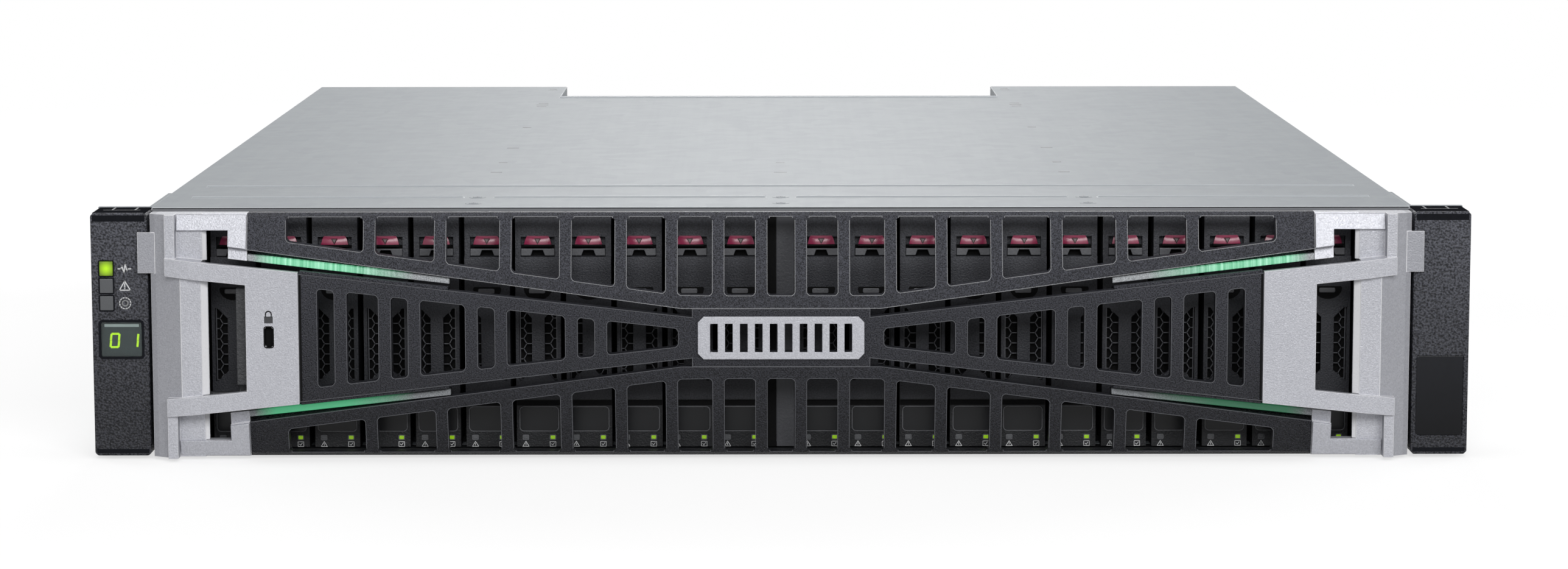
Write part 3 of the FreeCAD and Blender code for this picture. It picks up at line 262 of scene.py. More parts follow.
def light_guide():
    """Frosted strip, green light in its outer part: the upper ones with uneven ribs, the lower ones calm."""
    n = surface("light_guide")
    axes = n.axes()
    reach = n.size(axes["X"])
    upper = n.zone(axes["Z"], *STRIP_MIDDLE)
    glow = n.times(n.zone(reach, *GLOW_INNER), n.zone(reach, *GLOW_OUTER))
    bars = n.noise(n.coords((1, 0.02, 0.02)), scale=900, detail=2.0, rough=0.6)
    speck = n.noise(n.coords(), scale=2600, detail=2.0, rough=0.6)
    ribs = n.times(n.span(bars, 0.35, 0.68), upper)
    right = n.zone(axes["X"], *HALVES, 0.0, 0.7)
    full = n.math("SUBTRACT", 1.0, n.times(right, n.span(upper, 0.0, 1.0, 1.0, 0.15)))
    ribbed = n.math("ADD", n.times(ribs, 0.36), 0.42)
    frost = n.blend(n.span(speck, 0.35, 0.65), rgb("86898c"), rgb("bec2c6"))
    n.feed(Base_Color=n.blend(glow, frost, n.blend(full, rgb("4c5a54"), rgb("5f9f80"))),
           Emission_Color=n.blend(ribs, rgb("58cf90"), rgb("b6f0d2")),
           Emission_Strength=n.times(n.times(glow, full), ribbed),
           Roughness=0.35, Specular_IOR_Level=0.3)
    n.bump(n.math("ADD", ribs, speck), 0.12)


def status_lens():
    """Small square lenses: the top one lit with a bright middle, the others dull grey."""
    n = surface("lens_clear")
    top = n.math("GREATER_THAN", n.axes()["Z"], LIT_ABOVE / 1000)
    spot = n.zone(n.measure("DISTANCE", mm(*LIT_LENS)), *LIT_SPOT, 1.0, 0.12)
    frost = n.noise(n.coords(), scale=2200)
    n.feed(Base_Color=n.blend(top, rgb("545659"), rgb("566b10")), Emission_Color=rgb("a4d800"),
           Emission_Strength=n.times(top, n.times(spot, 1.1)),
           Roughness=n.span(frost, 0.3, 0.7, 0.3, 0.45))
    n.bump(frost, 0.05)


def lamp(name, colour, strength):
    """A small lit window with a soft grain."""
    n = surface(name)
    frost = n.noise(n.coords(), scale=3000)
    n.feed(Base_Color=n.blend(frost, shade(colour, 0.5), rgb(colour)), Emission_Color=rgb(colour),
           Emission_Strength=n.span(frost, 0.3, 0.7, strength * 0.85, strength * 1.15), Roughness=0.25)


def clear_glass():
    """Clear pane with faint smears."""
    n = surface("display_glass")
    smear = n.noise(n.coords(), scale=90, detail=4.0)
    n.feed(Base_Color=rgb("c9d2d0"), Transmission_Weight=1.0, IOR=1.35,
           Roughness=n.span(smear, 0.3, 0.7, 0.02, 0.08))


finish("guide_plastic", "18191b", 0.6, specular=0.15)
finish("divider_grey", "3c3d42", 0.5, grain=1200)
finish("circuit_board", "1f5a3a", 0.4, grain=600, vary=0.25)
finish("connector_black", "1b1b1d", 0.5)
# Painted shade, darker towards the bottom.
finish("cap_black", "46474d", 0.36, grain=1350, depth=0.8, vary=0.65, rough_vary=0.12,
       specular=0.16, share=0.9, crisp=0.14, painted_shade=(15, 78, 0.55, 1.27))
finish("display_dark", "3c464a", 0.35, grain=900, vary=0.08)
# Painted shade, darker towards the bottom.
finish("grille_dark", "3b3c42", 0.36, grain=2300, depth=0.6, vary=0.6, rough_vary=0.1,
       specular=0.16, share=0.9, crisp=0.14, painted_shade=(8, 80, 0.4, 1.28))
finish("latch_dark", "2c2d30", 0.5, grain=1000, depth=0.5, vary=0.3)
finish("spring_steel", "b5b6b8", 0.3, metal=1.0, stretch=(1, 1, 20), depth=0.02)
finish("module_steel", "b4b6b9", 0.42, metal=0.7, stretch=(1, 1, 14), grain=500,
       depth=0.02, vary=0.08)
finish("handle_black", "232426", 0.45)
finish("release_tab", "8a1743", 0.32, vary=0.08, depth=0.03, coat=0.25)
finish("fan_black", "202123", 0.5)
finish("lever_grey", "6d6f73", 0.45)
finish("icon_white", "e4e5e6", 0.5, grain=3000, depth=0.02, vary=0.05)
finish("icon_dark", "303134", 0.5, grain=3000, depth=0.02)
# Painted shade, darker towards the bottom.
finish("gloss_black", "1b1c20", 0.16, grain=300, depth=0.01, vary=0.1, rough_vary=0.04,
       specular=0.16, painted_shade=(8, 36, 0.5, 1.3))
finish("label_black", "141518", 0.3, grain=500, depth=0.02, vary=0.1, rough_vary=0.06,
       specular=0.25)
finish("trim_black", "202125", 0.5, grain=600, depth=0.02, vary=0.15, specular=0.0)
finish("wire_grey", "505156", 0.4, grain=2500, depth=0.02, specular=0.4)
finish("deep_black", "0c0c0d", 0.7, grain=800, depth=0.04, specular=0.1)
finish("contact_gold", "c9a24a", 0.3, metal=1.0, grain=1500, depth=0.01, vary=0.06)
finish("zinc_screw", "c2c4c6", 0.3, metal=1.0, grain=900, depth=0.02, vary=0.08)
# Painted highlight on the grilles' rims.
finish("grille_highlight", "55565b", 0.32, grain=2500, depth=0.04, vary=0.25)
# Painted highlight on rounded silver edges and lit walls.
finish("silver_highlight", "efeff2", 0.3, grain=1500, depth=0.03, vary=0.04)
finish("lip_grey", "58595d", 0.4, grain=1500, depth=0.1)
# Dark grey painted into slots and screw recesses as their shade.
finish("slot_shade", "3c3e41", 0.5, grain=900, depth=0.03)
# Painted highlight on the cover's rounded edges.
finish("cover_highlight", "c6cace", 0.4, grain=1500, depth=0.02, vary=0.04, specular=0.2)
finish("lip_steel", "85878b", 0.5, grain=1500, depth=0.03, vary=0.06, specular=0.2)
finish("mark_grey", "77706f", 0.4, grain=3000, depth=0.02)
finish("mark_dark", "3a0c1b", 0.4, grain=3000, depth=0.02)
galvanised()
silver()
carrier()
light_guide()
status_lens()
clear_glass()
lamp("led_green", "94c61c", 0.42)
lamp("digit_green", "c4f01e", 1.0)


# Outlines


def arc(u, v, wide, high, start, end, steps):
    """Points along part of an ellipse, both ends included, between two angles in degrees."""
    turns = [math.radians(start + (end - start) * i / steps) for i in range(steps + 1)]
    return [(u + wide * math.cos(a), v + high * math.sin(a)) for a in turns]


def ring(u, v, radius, count):
    return arc(u, v, radius, radius, 0, 360, count)[:-1]


def rect(u, v, wide, high):
    """A rectangle from its middle and half sizes."""
    return [(u - wide, v - high), (u + wide, v - high), (u + wide, v + high), (u - wide, v + high)]


def rounded(u, v, width, height, radius, steps=4):
    """A rectangle with rounded corners from its middle and full sizes."""
    points = []
    for su, sv, start in ((1, 1, 0), (-1, 1, 90), (-1, -1, 180), (1, -1, 270)):
        points += arc(u + su * (width / 2 - radius), v + sv * (height / 2 - radius), radius, radius,
                      start, start + 90, steps)
    return points


def scaled(outline, u, v, wide, high):
    """An outline scaled about its own origin and moved to a place."""
    return [(u + a * wide, v + b * high) for a, b in outline]


# Mesh building

AXES = {"x": lambda u, v, w: mm(w, u, v), "y": lambda u, v, w: mm(u, w, v), "z": mm}
SMOOTH_ANGLE = math.radians(40)
BEVEL_ANGLE = math.radians(35)


class Form:
    """Collects closed solids in one mesh."""

    def __init__(self):
        self.bm = bmesh.new()

    def bridge(self, one, two):
        """A closed solid between two rings of points in metres."""
        rings = [[self.bm.verts.new(point) for point in points] for points in (one, two)]
        self.bm.faces.new(rings[0])
        self.bm.faces.new(rings[1][::-1])
        count = len(one)
        for i in range(count):
            j = (i + 1) % count
            self.bm.faces.new((rings[0][i], rings[1][i], rings[1][j], rings[0][j]))

    def prism(self, outline, low, high, axis="y"):
        """A closed outline carried along one axis."""
        spot = AXES[axis]
        self.bridge(*[[spot(u, v, w) for u, v in outline] for w in (low, high)])

    def box(self, x, y, z):
        self.prism([(x[0], z[0]), (x[1], z[0]), (x[1], z[1]), (x[0], z[1])], *y)

    def comb(self, start, pitch, count, wide, y, z):
        """Equal boxes in a row along x."""
        for i in range(count):
            x = start + i * pitch
            self.box((x, x + wide), y, z)

    def cross(self, u, v, arm, half, low, high, axis="y"):
        """The two bars of a cross slot."""
        for wide, deep in ((arm, half), (half, arm)):
            self.prism(rect(u, v, wide, deep), low, high, axis)

    def stroke(self, points, width, y, closed=False):
        """A line of constant width on a face that looks forward."""
        pairs = zip(points, points[1:] + points[:1] if closed else points[1:])
        for (x0, z0), (x1, z1) in pairs:
            dx, dz = x1 - x0, z1 - z0
            size = math.hypot(dx, dz)
            ux, uz = dx / size * width / 2, dz / size * width / 2
            self.prism([(x0 - ux - uz, z0 - uz + ux), (x0 - ux + uz, z0 - uz - ux),
                        (x1 + ux + uz, z1 + uz - ux), (x1 + ux - uz, z1 + uz + ux)], *y)

    def frame(self, outer, inner, y):
        """A flat ring between two outlines with the same number of points."""
        rings = [[self.bm.verts.new(mm(u, w, v)) for u, v in line] for line in (outer, inner) for w in y]
        count = len(outer)
        order = (0, 2, 3, 1)
        for a, b in zip(order, order[1:] + order[:1]):
            for i in range(count):
                j = (i + 1) % count
                self.bm.faces.new((rings[a][i], rings[a][j], rings[b][j], rings[b][i]))

    def crowned(self, rows, back, columns=10):
        """A button: rows of height, half width and reach, each bulging forward in its middle."""
        steps = [2 * k / columns - 1 for k in range(columns + 1)]
        front, rear = [], []
        for z, half, reach in rows:
            bulge = [(half * k, back - reach * (1 - 0.45 * k * k)) for k in steps]
            front.append([self.bm.verts.new(mm(x, y, z)) for x, y in bulge])
            rear.append([self.bm.verts.new(mm(x, back + 0.3, z)) for x, y in bulge])
        last = len(rows) - 1
        for i in range(last):
            for j in range(columns):
                for a in (front, rear):
                    self.bm.faces.new((a[i][j], a[i][j + 1], a[i + 1][j + 1], a[i + 1][j]))
            for j in (0, columns):
                self.bm.faces.new((front[i][j], front[i + 1][j], rear[i + 1][j], rear[i][j]))
        for i in (0, last):
            for j in range(columns):
                self.bm.faces.new((front[i][j], front[i][j + 1], rear[i][j + 1], rear[i][j]))

    def mesh(self, name, look):
        bmesh.ops.recalc_face_normals(self.bm, faces=self.bm.faces)
        return to_mesh(self.bm, name, look)


def to_mesh(bm, name, look):
    mesh = bpy.data.meshes.new(name)
    bm.to_mesh(mesh)
    bm.free()
    mesh.materials.append(MATS[look])
    return mesh


def smooth(mesh):
    """Smooth shading, apart from the sharper edges."""
    mesh.shade_smooth()
    mesh.set_sharp_from_angle(angle=SMOOTH_ANGLE)
    return mesh


def round_edges(obj, width, angle):
    bevel = obj.modifiers.new("edges", "BEVEL")
    bevel.width = width / 1000
    bevel.segments = 2
    bevel.limit_method = "ANGLE"
    bevel.angle_limit = angle
    return bevel


def place(name, mesh, body, bevel=0.0, x=0.0):
    """Puts a mesh in the scene, on its body, with softened edges."""
    obj = bpy.data.objects.new(name, mesh)
    SCENE.collection.objects.link(obj)
    obj.location.x = x / 1000
    if bevel:
        round_edges(obj, bevel, BEVEL_ANGLE)
    bpy.context.view_layer.update()
    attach(obj, body)
    return obj


def put(form, name, look, body, bevel=0.0):
    """Places a form as a piece with one of the finishes."""
    return place(name, form.mesh(name, look), body, bevel)


def forms(count):
    return [Form() for _ in range(count)]


# Finishes of the solid pieces

EDGE = 0.3
OTHER_EDGE = {"bezel_end_left": 0.4, "bezel_end_right": 0.4, "ear_cap_left": 0.8, "ear_cap_right": 0.8,
              "hub_plate": 0.25}
# Paler finishes on the rounded edges: painted highlights.
RIM = {"bezel_end_left": "silver_highlight", "bezel_end_right": "silver_highlight", "top_cover": "cover_highlight"}
WELD = 2e-6
FLAT_ANGLE = math.radians(0.5)
NODE_BEVEL_ANGLE = math.radians(25)


def soften(obj, width, rim):
    """Rounds a piece's sharp edges, on top of its own mesh; a rim finish, a paler painted highlight, goes on
    the rounding.
    """
    weld = obj.modifiers.new("weld", "WELD")
    weld.merge_threshold = WELD
    flat = obj.modifiers.new("flat", "DECIMATE")
    flat.decimate_type = "DISSOLVE"
    flat.angle_limit = FLAT_ANGLE
    bevel = round_edges(obj, width, NODE_BEVEL_ANGLE)
    if rim:
        obj.data.materials.append(MATS[rim])
        bevel.material = 1
    normal = obj.modifiers.new("normals", "WEIGHTED_NORMAL")
    normal.keep_sharp = False


def finish_nodes():
    """Each piece takes the finish of its slot; the drives keep their sharp edges."""
    for row in frame["record"]["subparts"]:
        name = row["node"]
        node = frame["nodes"][name]
        node.data.materials.clear()
        node.data.materials.append(MATS[row["material_slot"]])
        if name not in DRIVES:
            soften(node, OTHER_EDGE.get(name, EDGE), RIM.get(name))


# Drive fronts, one set of meshes shared by all drives

HALF_COUNT, BAY_FIRST, BAY_PITCH = 12, 14.2, 17.9
FACE_Y, LEVER_Y = -4.8, -6.4
VENT_MID, VENT_HALF, VENT_RISE = 38.5, 6.75, 13.0
CELL, WIRE, WIRE_INSET, SHORTEST = 2.1, 0.3, 0.25, 0.08
POST_X, POST_RISE, POST = VENT_HALF - 0.3, VENT_RISE - 0.3, 0.35
BOWL_Z, BOWL_HALF, BOWL_DEEP = 58.3, 5.0, 4.0
BOWL_BRIM = (4.6, 58.9)
CATCH = rounded(-0.3, 57.5, 5.8, 1.7, 0.5)
BUTTON_ROWS = [(73.95, 4.8, 1.35), (74.7, 4.6, 1.3), (75.5, 4.4, 1.1), (76.3, 4.1, 0.8), (76.9, 3.7, 0.3)]
MARK = [(-1.15, 76.15), (1.15, 76.15), (0, 74.0)]
MARK_CORE = [(-0.62, 75.85), (0.62, 75.85), (0, 74.65)]
ARCH = [(-5.9, 69.9), (-2.5, 69.9), (-1.75, 71.9), (1.75, 71.9), (2.5, 69.9), (5.9, 69.9), (5.9, 72.4),
        (-5.9, 72.4)]
LABEL_Z, LABEL_WIDE, LABEL_HIGH, LABEL_RADIUS, LABEL_RIM = 11.6, 13.4, 8.4, 1.2, 0.3
LAMP_X, LAMP_Z, LAMP_WIDE, LAMP_HIGH = 4.8, 5.0, 1.7, 1.3
LAMP_RIM = 0.6
# Bands of painted shadow round the button and above the label: half width, front and back from the face,
# heights.
BUTTON_BANDS = ((5.9, 2.6, 2.96, (69.7, 73.4)), (4.9, -1.3, 0.2, (73.3, 73.95)))
LABEL_BAND = (7.9, -0.05, 0.2, (16.4, 19.0))
SIGN_LINE, SIGN_Z = 0.18, 2.6
TRIANGLE = [(-1.1, 1.75), (1.1, 1.75), (0, 3.55)]
TICK = [(4.3, 2.6), (4.7, 2.2), (5.3, 3.0)]


def bay_x(index):
    """Middle of a drive, counted from the left."""
    if index < HALF_COUNT:
        return -bay_x(2 * HALF_COUNT - 1 - index)
    return BAY_FIRST + BAY_PITCH * (index - HALF_COUNT)


def clipped(a, b, half, rise):
    """The stretch of a line inside a rectangle round the middle, or None."""
    low, high = 0.0, 1.0
    for start, step, limit in ((a[0], b[0] - a[0], half), (a[1], b[1] - a[1], rise)):
        step = step or 1e-9
        first, last = sorted(((-limit - start) / step, (limit - start) / step))
        low, high = max(low, first), min(high, last)
    if high - low < SHORTEST:
        return None
    return [(a[0] + (b[0] - a[0]) * k, a[1] + (b[1] - a[1]) * k) for k in (low, high)]


def honeycomb():
    """Wire mesh of hexagons behind the vents, with a post at either side."""
    form = Form()
    tall = CELL * math.sqrt(3)
    rows = int(VENT_RISE / tall) + 2
    edges = set()
    for col in range(-3, 4):
        for row in range(-rows, rows + 1):
            cell = ring(col * 1.5 * CELL, (row + 0.5 * (col % 2)) * tall, CELL, 6)
            corners = [(round(x, 2), round(z, 2)) for x, z in cell]
            for a, b in zip(corners, corners[1:] + corners[:1]):
                edges.add((min(a, b), max(a, b)))
    for a, b in sorted(edges):
        line = clipped(a, b, VENT_HALF - WIRE_INSET, VENT_RISE - WIRE_INSET)
        if line:
            form.stroke([(x, VENT_MID + z) for x, z in line], WIRE, (FACE_Y + 0.3, FACE_Y + 0.9))
    for x in (-POST_X, POST_X):
        ends = [(x, VENT_MID - POST_RISE), (x, VENT_MID + POST_RISE)]
        form.stroke(ends, POST, (FACE_Y + 0.25, FACE_Y + 0.95))
    return form


def drive_shadows():
    """Painted shadow: dark plates behind the vents, in the finger bowl, round the button and above the label.
    """
    form = Form()
    vent_z = (VENT_MID - VENT_RISE, VENT_MID + VENT_RISE)
    form.box((-VENT_HALF, VENT_HALF), (FACE_Y + 2.4, FACE_Y + 3.0), vent_z)
    bowl = arc(0, BOWL_Z, BOWL_HALF, BOWL_DEEP, 180, 360, 9)
    brim_x, brim_z = BOWL_BRIM
    form.prism([(-brim_x, brim_z)] + bowl + [(brim_x, brim_z)], LEVER_Y - 0.06, LEVER_Y + 0.2)
    for half, ahead, behind, z in (*BUTTON_BANDS, LABEL_BAND):
        form.box((-half, half), (FACE_Y + ahead, FACE_Y + behind), z)
    return form


def drive_signs():
    """A warning triangle and a ticked box under the lamps."""
    form = Form()
    flat = (FACE_Y - 0.06, FACE_Y + 0.1)
    form.stroke(scaled(TRIANGLE, -LAMP_X, 0, 1, 1), SIGN_LINE, flat, True)
    form.stroke([(-LAMP_X, 2.9), (-LAMP_X, 2.2)], SIGN_LINE, flat)
    form.stroke(rect(LAMP_X, SIGN_Z, 1.0, 0.85), SIGN_LINE, flat, True)
    form.stroke(TICK, SIGN_LINE, flat)
    return form


def drive_parts():
    """Name, mesh, slot and bevel of each piece on a drive front."""
    button, mark, core, lip, label, rim, dull, lit = forms(8)
    button.crowned(BUTTON_ROWS, FACE_Y)
    mark.prism(MARK, FACE_Y - 1.5, FACE_Y - 0.9)
    core.prism(MARK_CORE, FACE_Y - 1.56, FACE_Y - 1.0)
    lip.prism(ARCH, FACE_Y - 0.7, FACE_Y + 1.2)
    lip.prism(CATCH, LEVER_Y - 0.2, LEVER_Y + 0.2)
    plate = rounded(0, LABEL_Z, LABEL_WIDE, LABEL_HIGH, LABEL_RADIUS)
    label.prism(plate, FACE_Y - 0.12, FACE_Y + 0.2)
    border = rounded(0, LABEL_Z, LABEL_WIDE + 2 * LABEL_RIM, LABEL_HIGH + 2 * LABEL_RIM,
                     LABEL_RADIUS + LABEL_RIM)
    rim.frame(border, plate, (FACE_Y - 0.22, FACE_Y + 0.1))
    for x, form in ((-LAMP_X, dull), (LAMP_X, lit)):
        window = rounded(x, LAMP_Z, LAMP_WIDE, LAMP_HIGH, 0.3)
        border = rounded(x, LAMP_Z, LAMP_WIDE + LAMP_RIM, LAMP_HIGH + LAMP_RIM, 0.4)
        rim.frame(border, window, (FACE_Y - 0.2, FACE_Y + 0.1))
        form.prism(window, FACE_Y - 0.1, FACE_Y + 0.2)
    parts = []
    for kind, form, look, slot, bevel in (
            ("wire", honeycomb(), "wire_grey", "spring_steel", 0.0),
            ("shadow", drive_shadows(), "deep_black", "connector_black", 0.0),
            ("button", button, "release_tab", "release_tab", 0.0),
            ("mark", mark, "mark_dark", "release_tab", 0.0),
            ("core", core, "mark_grey", "release_tab", 0.0),
            ("lip", lip, "lip_grey", "carrier_grey", 0.2),
            ("label", label, "label_black", "display_dark", 0.1),
            ("rim", rim, "lip_grey", "carrier_grey", 0.0),
            ("dull", dull, "lens_clear", "lens_clear", 0.1),
            ("lit", lit, "led_green", "light_guide", 0.1),
            ("signs", drive_signs(), "icon_white", "lens_clear", 0.0)):
        mesh = form.mesh("drive_" + kind, look)
        parts.append((kind, smooth(mesh) if kind == "button" else mesh, slot, bevel))
    return parts


def dress_drives():
    parts = drive_parts()
    for index, body in enumerate(DRIVES):
        for kind, mesh, slot, bevel in parts:
            place("%s_%s" % (body, kind), mesh, body, bevel, bay_x(index))


# Ear caps

CAP_Y = -18.0
CAP_NEAR, CAP_FAR = 222.2, 240.6
LENS_X, LENS_ROWS = -236.05, (67.1, 61.0, 54.9)
LENS_FRAME, LENS_HOLE = (5.6, 5.9, 0.7), (4.75, 5.15, 0.3)
ICON_X, ICON_LINE, RING_LINE = -229.6, 0.36, 0.34
PULSE = [(-2.2, 67.0), (-1.2, 67.0), (-0.8, 68.0), (-0.2, 65.4), (0.3, 69.0), (0.8, 66.2), (1.1, 67.0),
         (2.2, 67.0)]
WARNING = [(-1.9, 59.5), (1.9, 59.5), (0, 62.7)]
PANE_X, PANE_Z, PANE_WIDE, PANE_HIGH = -231.15, 42.1, 14.4, 12.3
DIGITS = ((-233.6, "abcdef"), (-227.0, "bc"))
DIGIT_Z, DIGIT_HALF, DIGIT_RISE, DIGIT_SLANT = 41.6, 1.4, 2.35, 0.08
SEGMENT, SEGMENT_GAP, SEGMENT_Y = 0.72, 0.42, (-16.95, -16.75)
# A white strip along the top of the display as a painted highlight.
TOP_HIGHLIGHT = ((-237.2, -225.1), (-17.0, -16.7), (46.4, 47.4))
FOLD = [(-18.08, 83.6), (-18.08, 85.75), (-17.2, 86.68), (-0.5, 86.68), (-0.5, 86.4), (-17.0, 86.4),
        (-17.7, 85.6), (-17.7, 83.6)]
FOOT = [(-18.08, 1.7), (-18.08, 3.2), (-17.7, 3.2), (-17.7, 1.7)]
SEAM_Z = (86.6, 86.72)
SEAMS = [(231.5, -9.3, 6.5, 0.3), (226.9, -5.1, 0.3, 3.9), (234.9, -5.1, 0.3, 3.9)]
BLANK = rounded(231.4, 21.5, 16.4, 28.1, 1.2)


def dress_signs():
    """A pulse, a warning triangle and a ring beside the lenses."""
    form = Form()
    y = (CAP_Y - 0.12, CAP_Y + 0.1)
    form.stroke(scaled(PULSE, ICON_X, 0, 1, 1), ICON_LINE, y)
    form.stroke(scaled(WARNING, ICON_X, 0, 1, 1), ICON_LINE, y, True)
    form.stroke([(ICON_X, 61.7), (ICON_X, 60.7)], ICON_LINE, y)
    form.stroke([(ICON_X, 60.2), (ICON_X, 60.1)], 0.3, y)
    for radius in (1.0, 2.0):
        form.stroke(ring(ICON_X, LENS_ROWS[-1], radius, 12), RING_LINE, y, True)
    put(form, "ear_marks", "icon_white", "chassis")


def dress_display():
    """Pane with rounded corners, two slanting digits, and a white strip along the top as a painted highlight.
    """
    glass, digits, top_highlight = forms(3)
    glass.prism(rounded(PANE_X, PANE_Z, PANE_WIDE, PANE_HIGH, 0.8), CAP_Y, CAP_Y + 0.7)
    pane = put(glass, "display_pane", "display_glass", "chassis", 0.15)
    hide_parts("display_window")
    w, h = DIGIT_HALF, DIGIT_RISE
    ends = {"a": ((-w, h), (w, h)), "b": ((w, h), (w, 0)), "c": ((w, 0), (w, -h)),
            "d": ((-w, -h), (w, -h)), "e": ((-w, 0), (-w, -h)), "f": ((-w, h), (-w, 0))}
    for middle, lit in DIGITS:
        for key in lit:
            (x0, z0), (x1, z1) = ends[key]
            k = SEGMENT_GAP / math.hypot(x1 - x0, z1 - z0)
            dx, dz = (x1 - x0) * k, (z1 - z0) * k
            start = (middle + x0 + dx + z0 * DIGIT_SLANT, DIGIT_Z + z0 + dz)
            end = (middle + x1 - dx + z1 * DIGIT_SLANT, DIGIT_Z + z1 - dz)
            digits.stroke([start, end], SEGMENT, SEGMENT_Y)
    put(digits, "display_digits", "digit_green", "chassis")
    # Painted highlight along the top of the display.
    top_highlight.box(*TOP_HIGHLIGHT)
    put(top_highlight, "display_highlight", "icon_white", "chassis", 0.1)


def dress_caps():
    """Frames round lenses and display, folded rims, seams on top, and a bare plate on the right."""
    frames, seams, plate = forms(3)
    for z in LENS_ROWS:
        frames.frame(rounded(LENS_X, z, *LENS_FRAME), rounded(LENS_X, z, *LENS_HOLE),
                     (CAP_Y - 0.2, CAP_Y + 0.1))
    frames.frame(rounded(PANE_X, PANE_Z, PANE_WIDE + 1.5, PANE_HIGH + 1.5, 1.3),
                 rounded(PANE_X, PANE_Z, PANE_WIDE - 0.2, PANE_HIGH - 0.2, 0.6), (CAP_Y - 0.35, CAP_Y + 0.1))
    for side, sign in SIDES:
        for outline in (FOLD, FOOT):
            frames.prism(outline, sign * CAP_NEAR, sign * CAP_FAR, "x")
        for x, y, wide, deep in SEAMS:
            seams.prism(rect(sign * x, y, wide, deep), *SEAM_Z, "z")
    put(frames, "ear_frames", "trim_black", "chassis", 0.12)
    put(seams, "ear_seams", "lip_grey", "chassis")
    plate.prism(BLANK, CAP_Y + 0.3, CAP_Y + 0.6)
    put(plate, "blank_plate", "gloss_black", "chassis", 0.15)


# Grilles of the bezel, in metres

WINDOW_END = 0.0026
CORNER_ROUND = 0.00042
RIM_PROUD, RIM_WIDE = 3e-5, 2.1e-4
LINE_HALF, LINE_WIDE, LEDGE_BACK = 1e-4, 2e-4, 2e-4
BRINK_GAP = 4e-5
FRONT_BAND, SMALLEST_WALL, WALL_LEAN = 1e-4, 1e-7, 0.4
CORNER_TURN = (0.5, 1.1)


def rim_edges(bm, ahead):
    """Edges where the walls reach the front plane: two ends with their mitred inward directions."""
    level = max(vert.co.dot(ahead) for vert in bm.verts) - FRONT_BAND
    found, at_vert = [], {}
    for face in bm.faces:
        if abs(face.normal.dot(ahead)) > WALL_LEAN or face.calc_area() < SMALLEST_WALL:
            continue
        inward = -(face.normal - ahead * face.normal.dot(ahead)).normalized()
        for edge in face.edges:
            if all(vert.co.dot(ahead) > level for vert in edge.verts):
                found.append((edge.verts[:], inward))
                for vert in edge.verts:
                    at_vert.setdefault(vert, []).append(inward)
    out = []
    for verts, inward in found:
        ends = []
        for vert in verts:
            near = at_vert[vert]
            turn = (near[0] + near[1]) / max(0.4, 1 + near[0].dot(near[1])) if len(near) == 2 else inward
            ends.append((vert.co.copy(), turn))
        out.append(ends)
    return out


def window_end(ledge_shades, rims, ends, beyond, ahead, rest):
    """A dark ledge between two bars, painted shade for a recessed rail, from a window's outer end to the
    brink, with fine pale lines round it as painted highlight.
    """
    left, right = sorted(ends, key=lambda at: at.x)
    x0, x1 = left.x - CORNER_ROUND, right.x + CORNER_ROUND
    brink = rest - BRINK_GAP

    def plate(form, a, b, low, high, proud):
        corners = ((a, low), (b, low), (b, high), (a, high))
        outline = [Vector((x, left.y, left.z)) + beyond * h for x, h in corners]
        form.bridge([at + ahead * proud for at in outline], [at - ahead * LEDGE_BACK for at in outline])

    plate(ledge_shades, x0, x1, 2e-5, brink - LINE_WIDE - 1e-5, 4e-5)
    plate(rims, x0, x1, brink - LINE_WIDE, brink, 5e-5)
    for x in (x0 - LINE_HALF, x1 + LINE_HALF):
        plate(rims, x - LINE_HALF, x + LINE_HALF, -CORNER_ROUND, brink, 6e-5)


def rounded_grille(name):
    """The grille's shape with rounded window corners."""
    bm = bmesh.new()
    bm.from_mesh(frame["nodes"][name].data)
    bmesh.ops.remove_doubles(bm, verts=bm.verts, dist=WELD)
    bmesh.ops.dissolve_limit(bm, angle_limit=FLAT_ANGLE, verts=bm.verts, edges=bm.edges)
    corners = []
    for edge in bm.edges:
        along = (edge.verts[0].co - edge.verts[1].co).normalized()
        if len(edge.link_faces) == 2 and abs(along.y) > 0.9:
            if CORNER_TURN[0] < edge.calc_face_angle() < CORNER_TURN[1]:
                corners.append(edge)
    bmesh.ops.bevel(bm, geom=corners, offset=CORNER_ROUND, segments=4, profile=0.5, affect="EDGES",
                    clamp_overlap=True)
    bm.normal_update()
    return bm


def grille_lines(bm, tilt):
    """A fine pale rim along the front edges as painted highlight, and dark plates of painted shade at the
    windows' outer ends where the grille leans.
    """
    ahead = Vector((0, -math.cos(tilt), math.sin(tilt)))
    beyond = Vector((0, math.sin(tilt), math.cos(tilt))) * (1 if tilt > 0 else -1)
    rims, ledge_shades = forms(2)
    edges = rim_edges(bm, ahead)
    brink = max(at.dot(beyond) for ends in edges for at, inward in ends)
    for ends in edges:
        rest = [brink - at.dot(beyond) for at, inward in ends]
        if tilt and max(rest) < WINDOW_END and min(inward.dot(beyond) for at, inward in ends) > 0.1:
            if abs(rest[0] - rest[1]) < 1e-6:
                window_end(ledge_shades, rims, [at for at, inward in ends], beyond, ahead, rest[0])
            continue
        rings = []
        for at, inward in ends:
            edge = at - inward * RIM_PROUD + ahead * RIM_PROUD
            rings.append((edge - ahead * RIM_WIDE, edge, edge + inward * RIM_WIDE))
        rims.bridge(*rings)
    return rims, ledge_shades


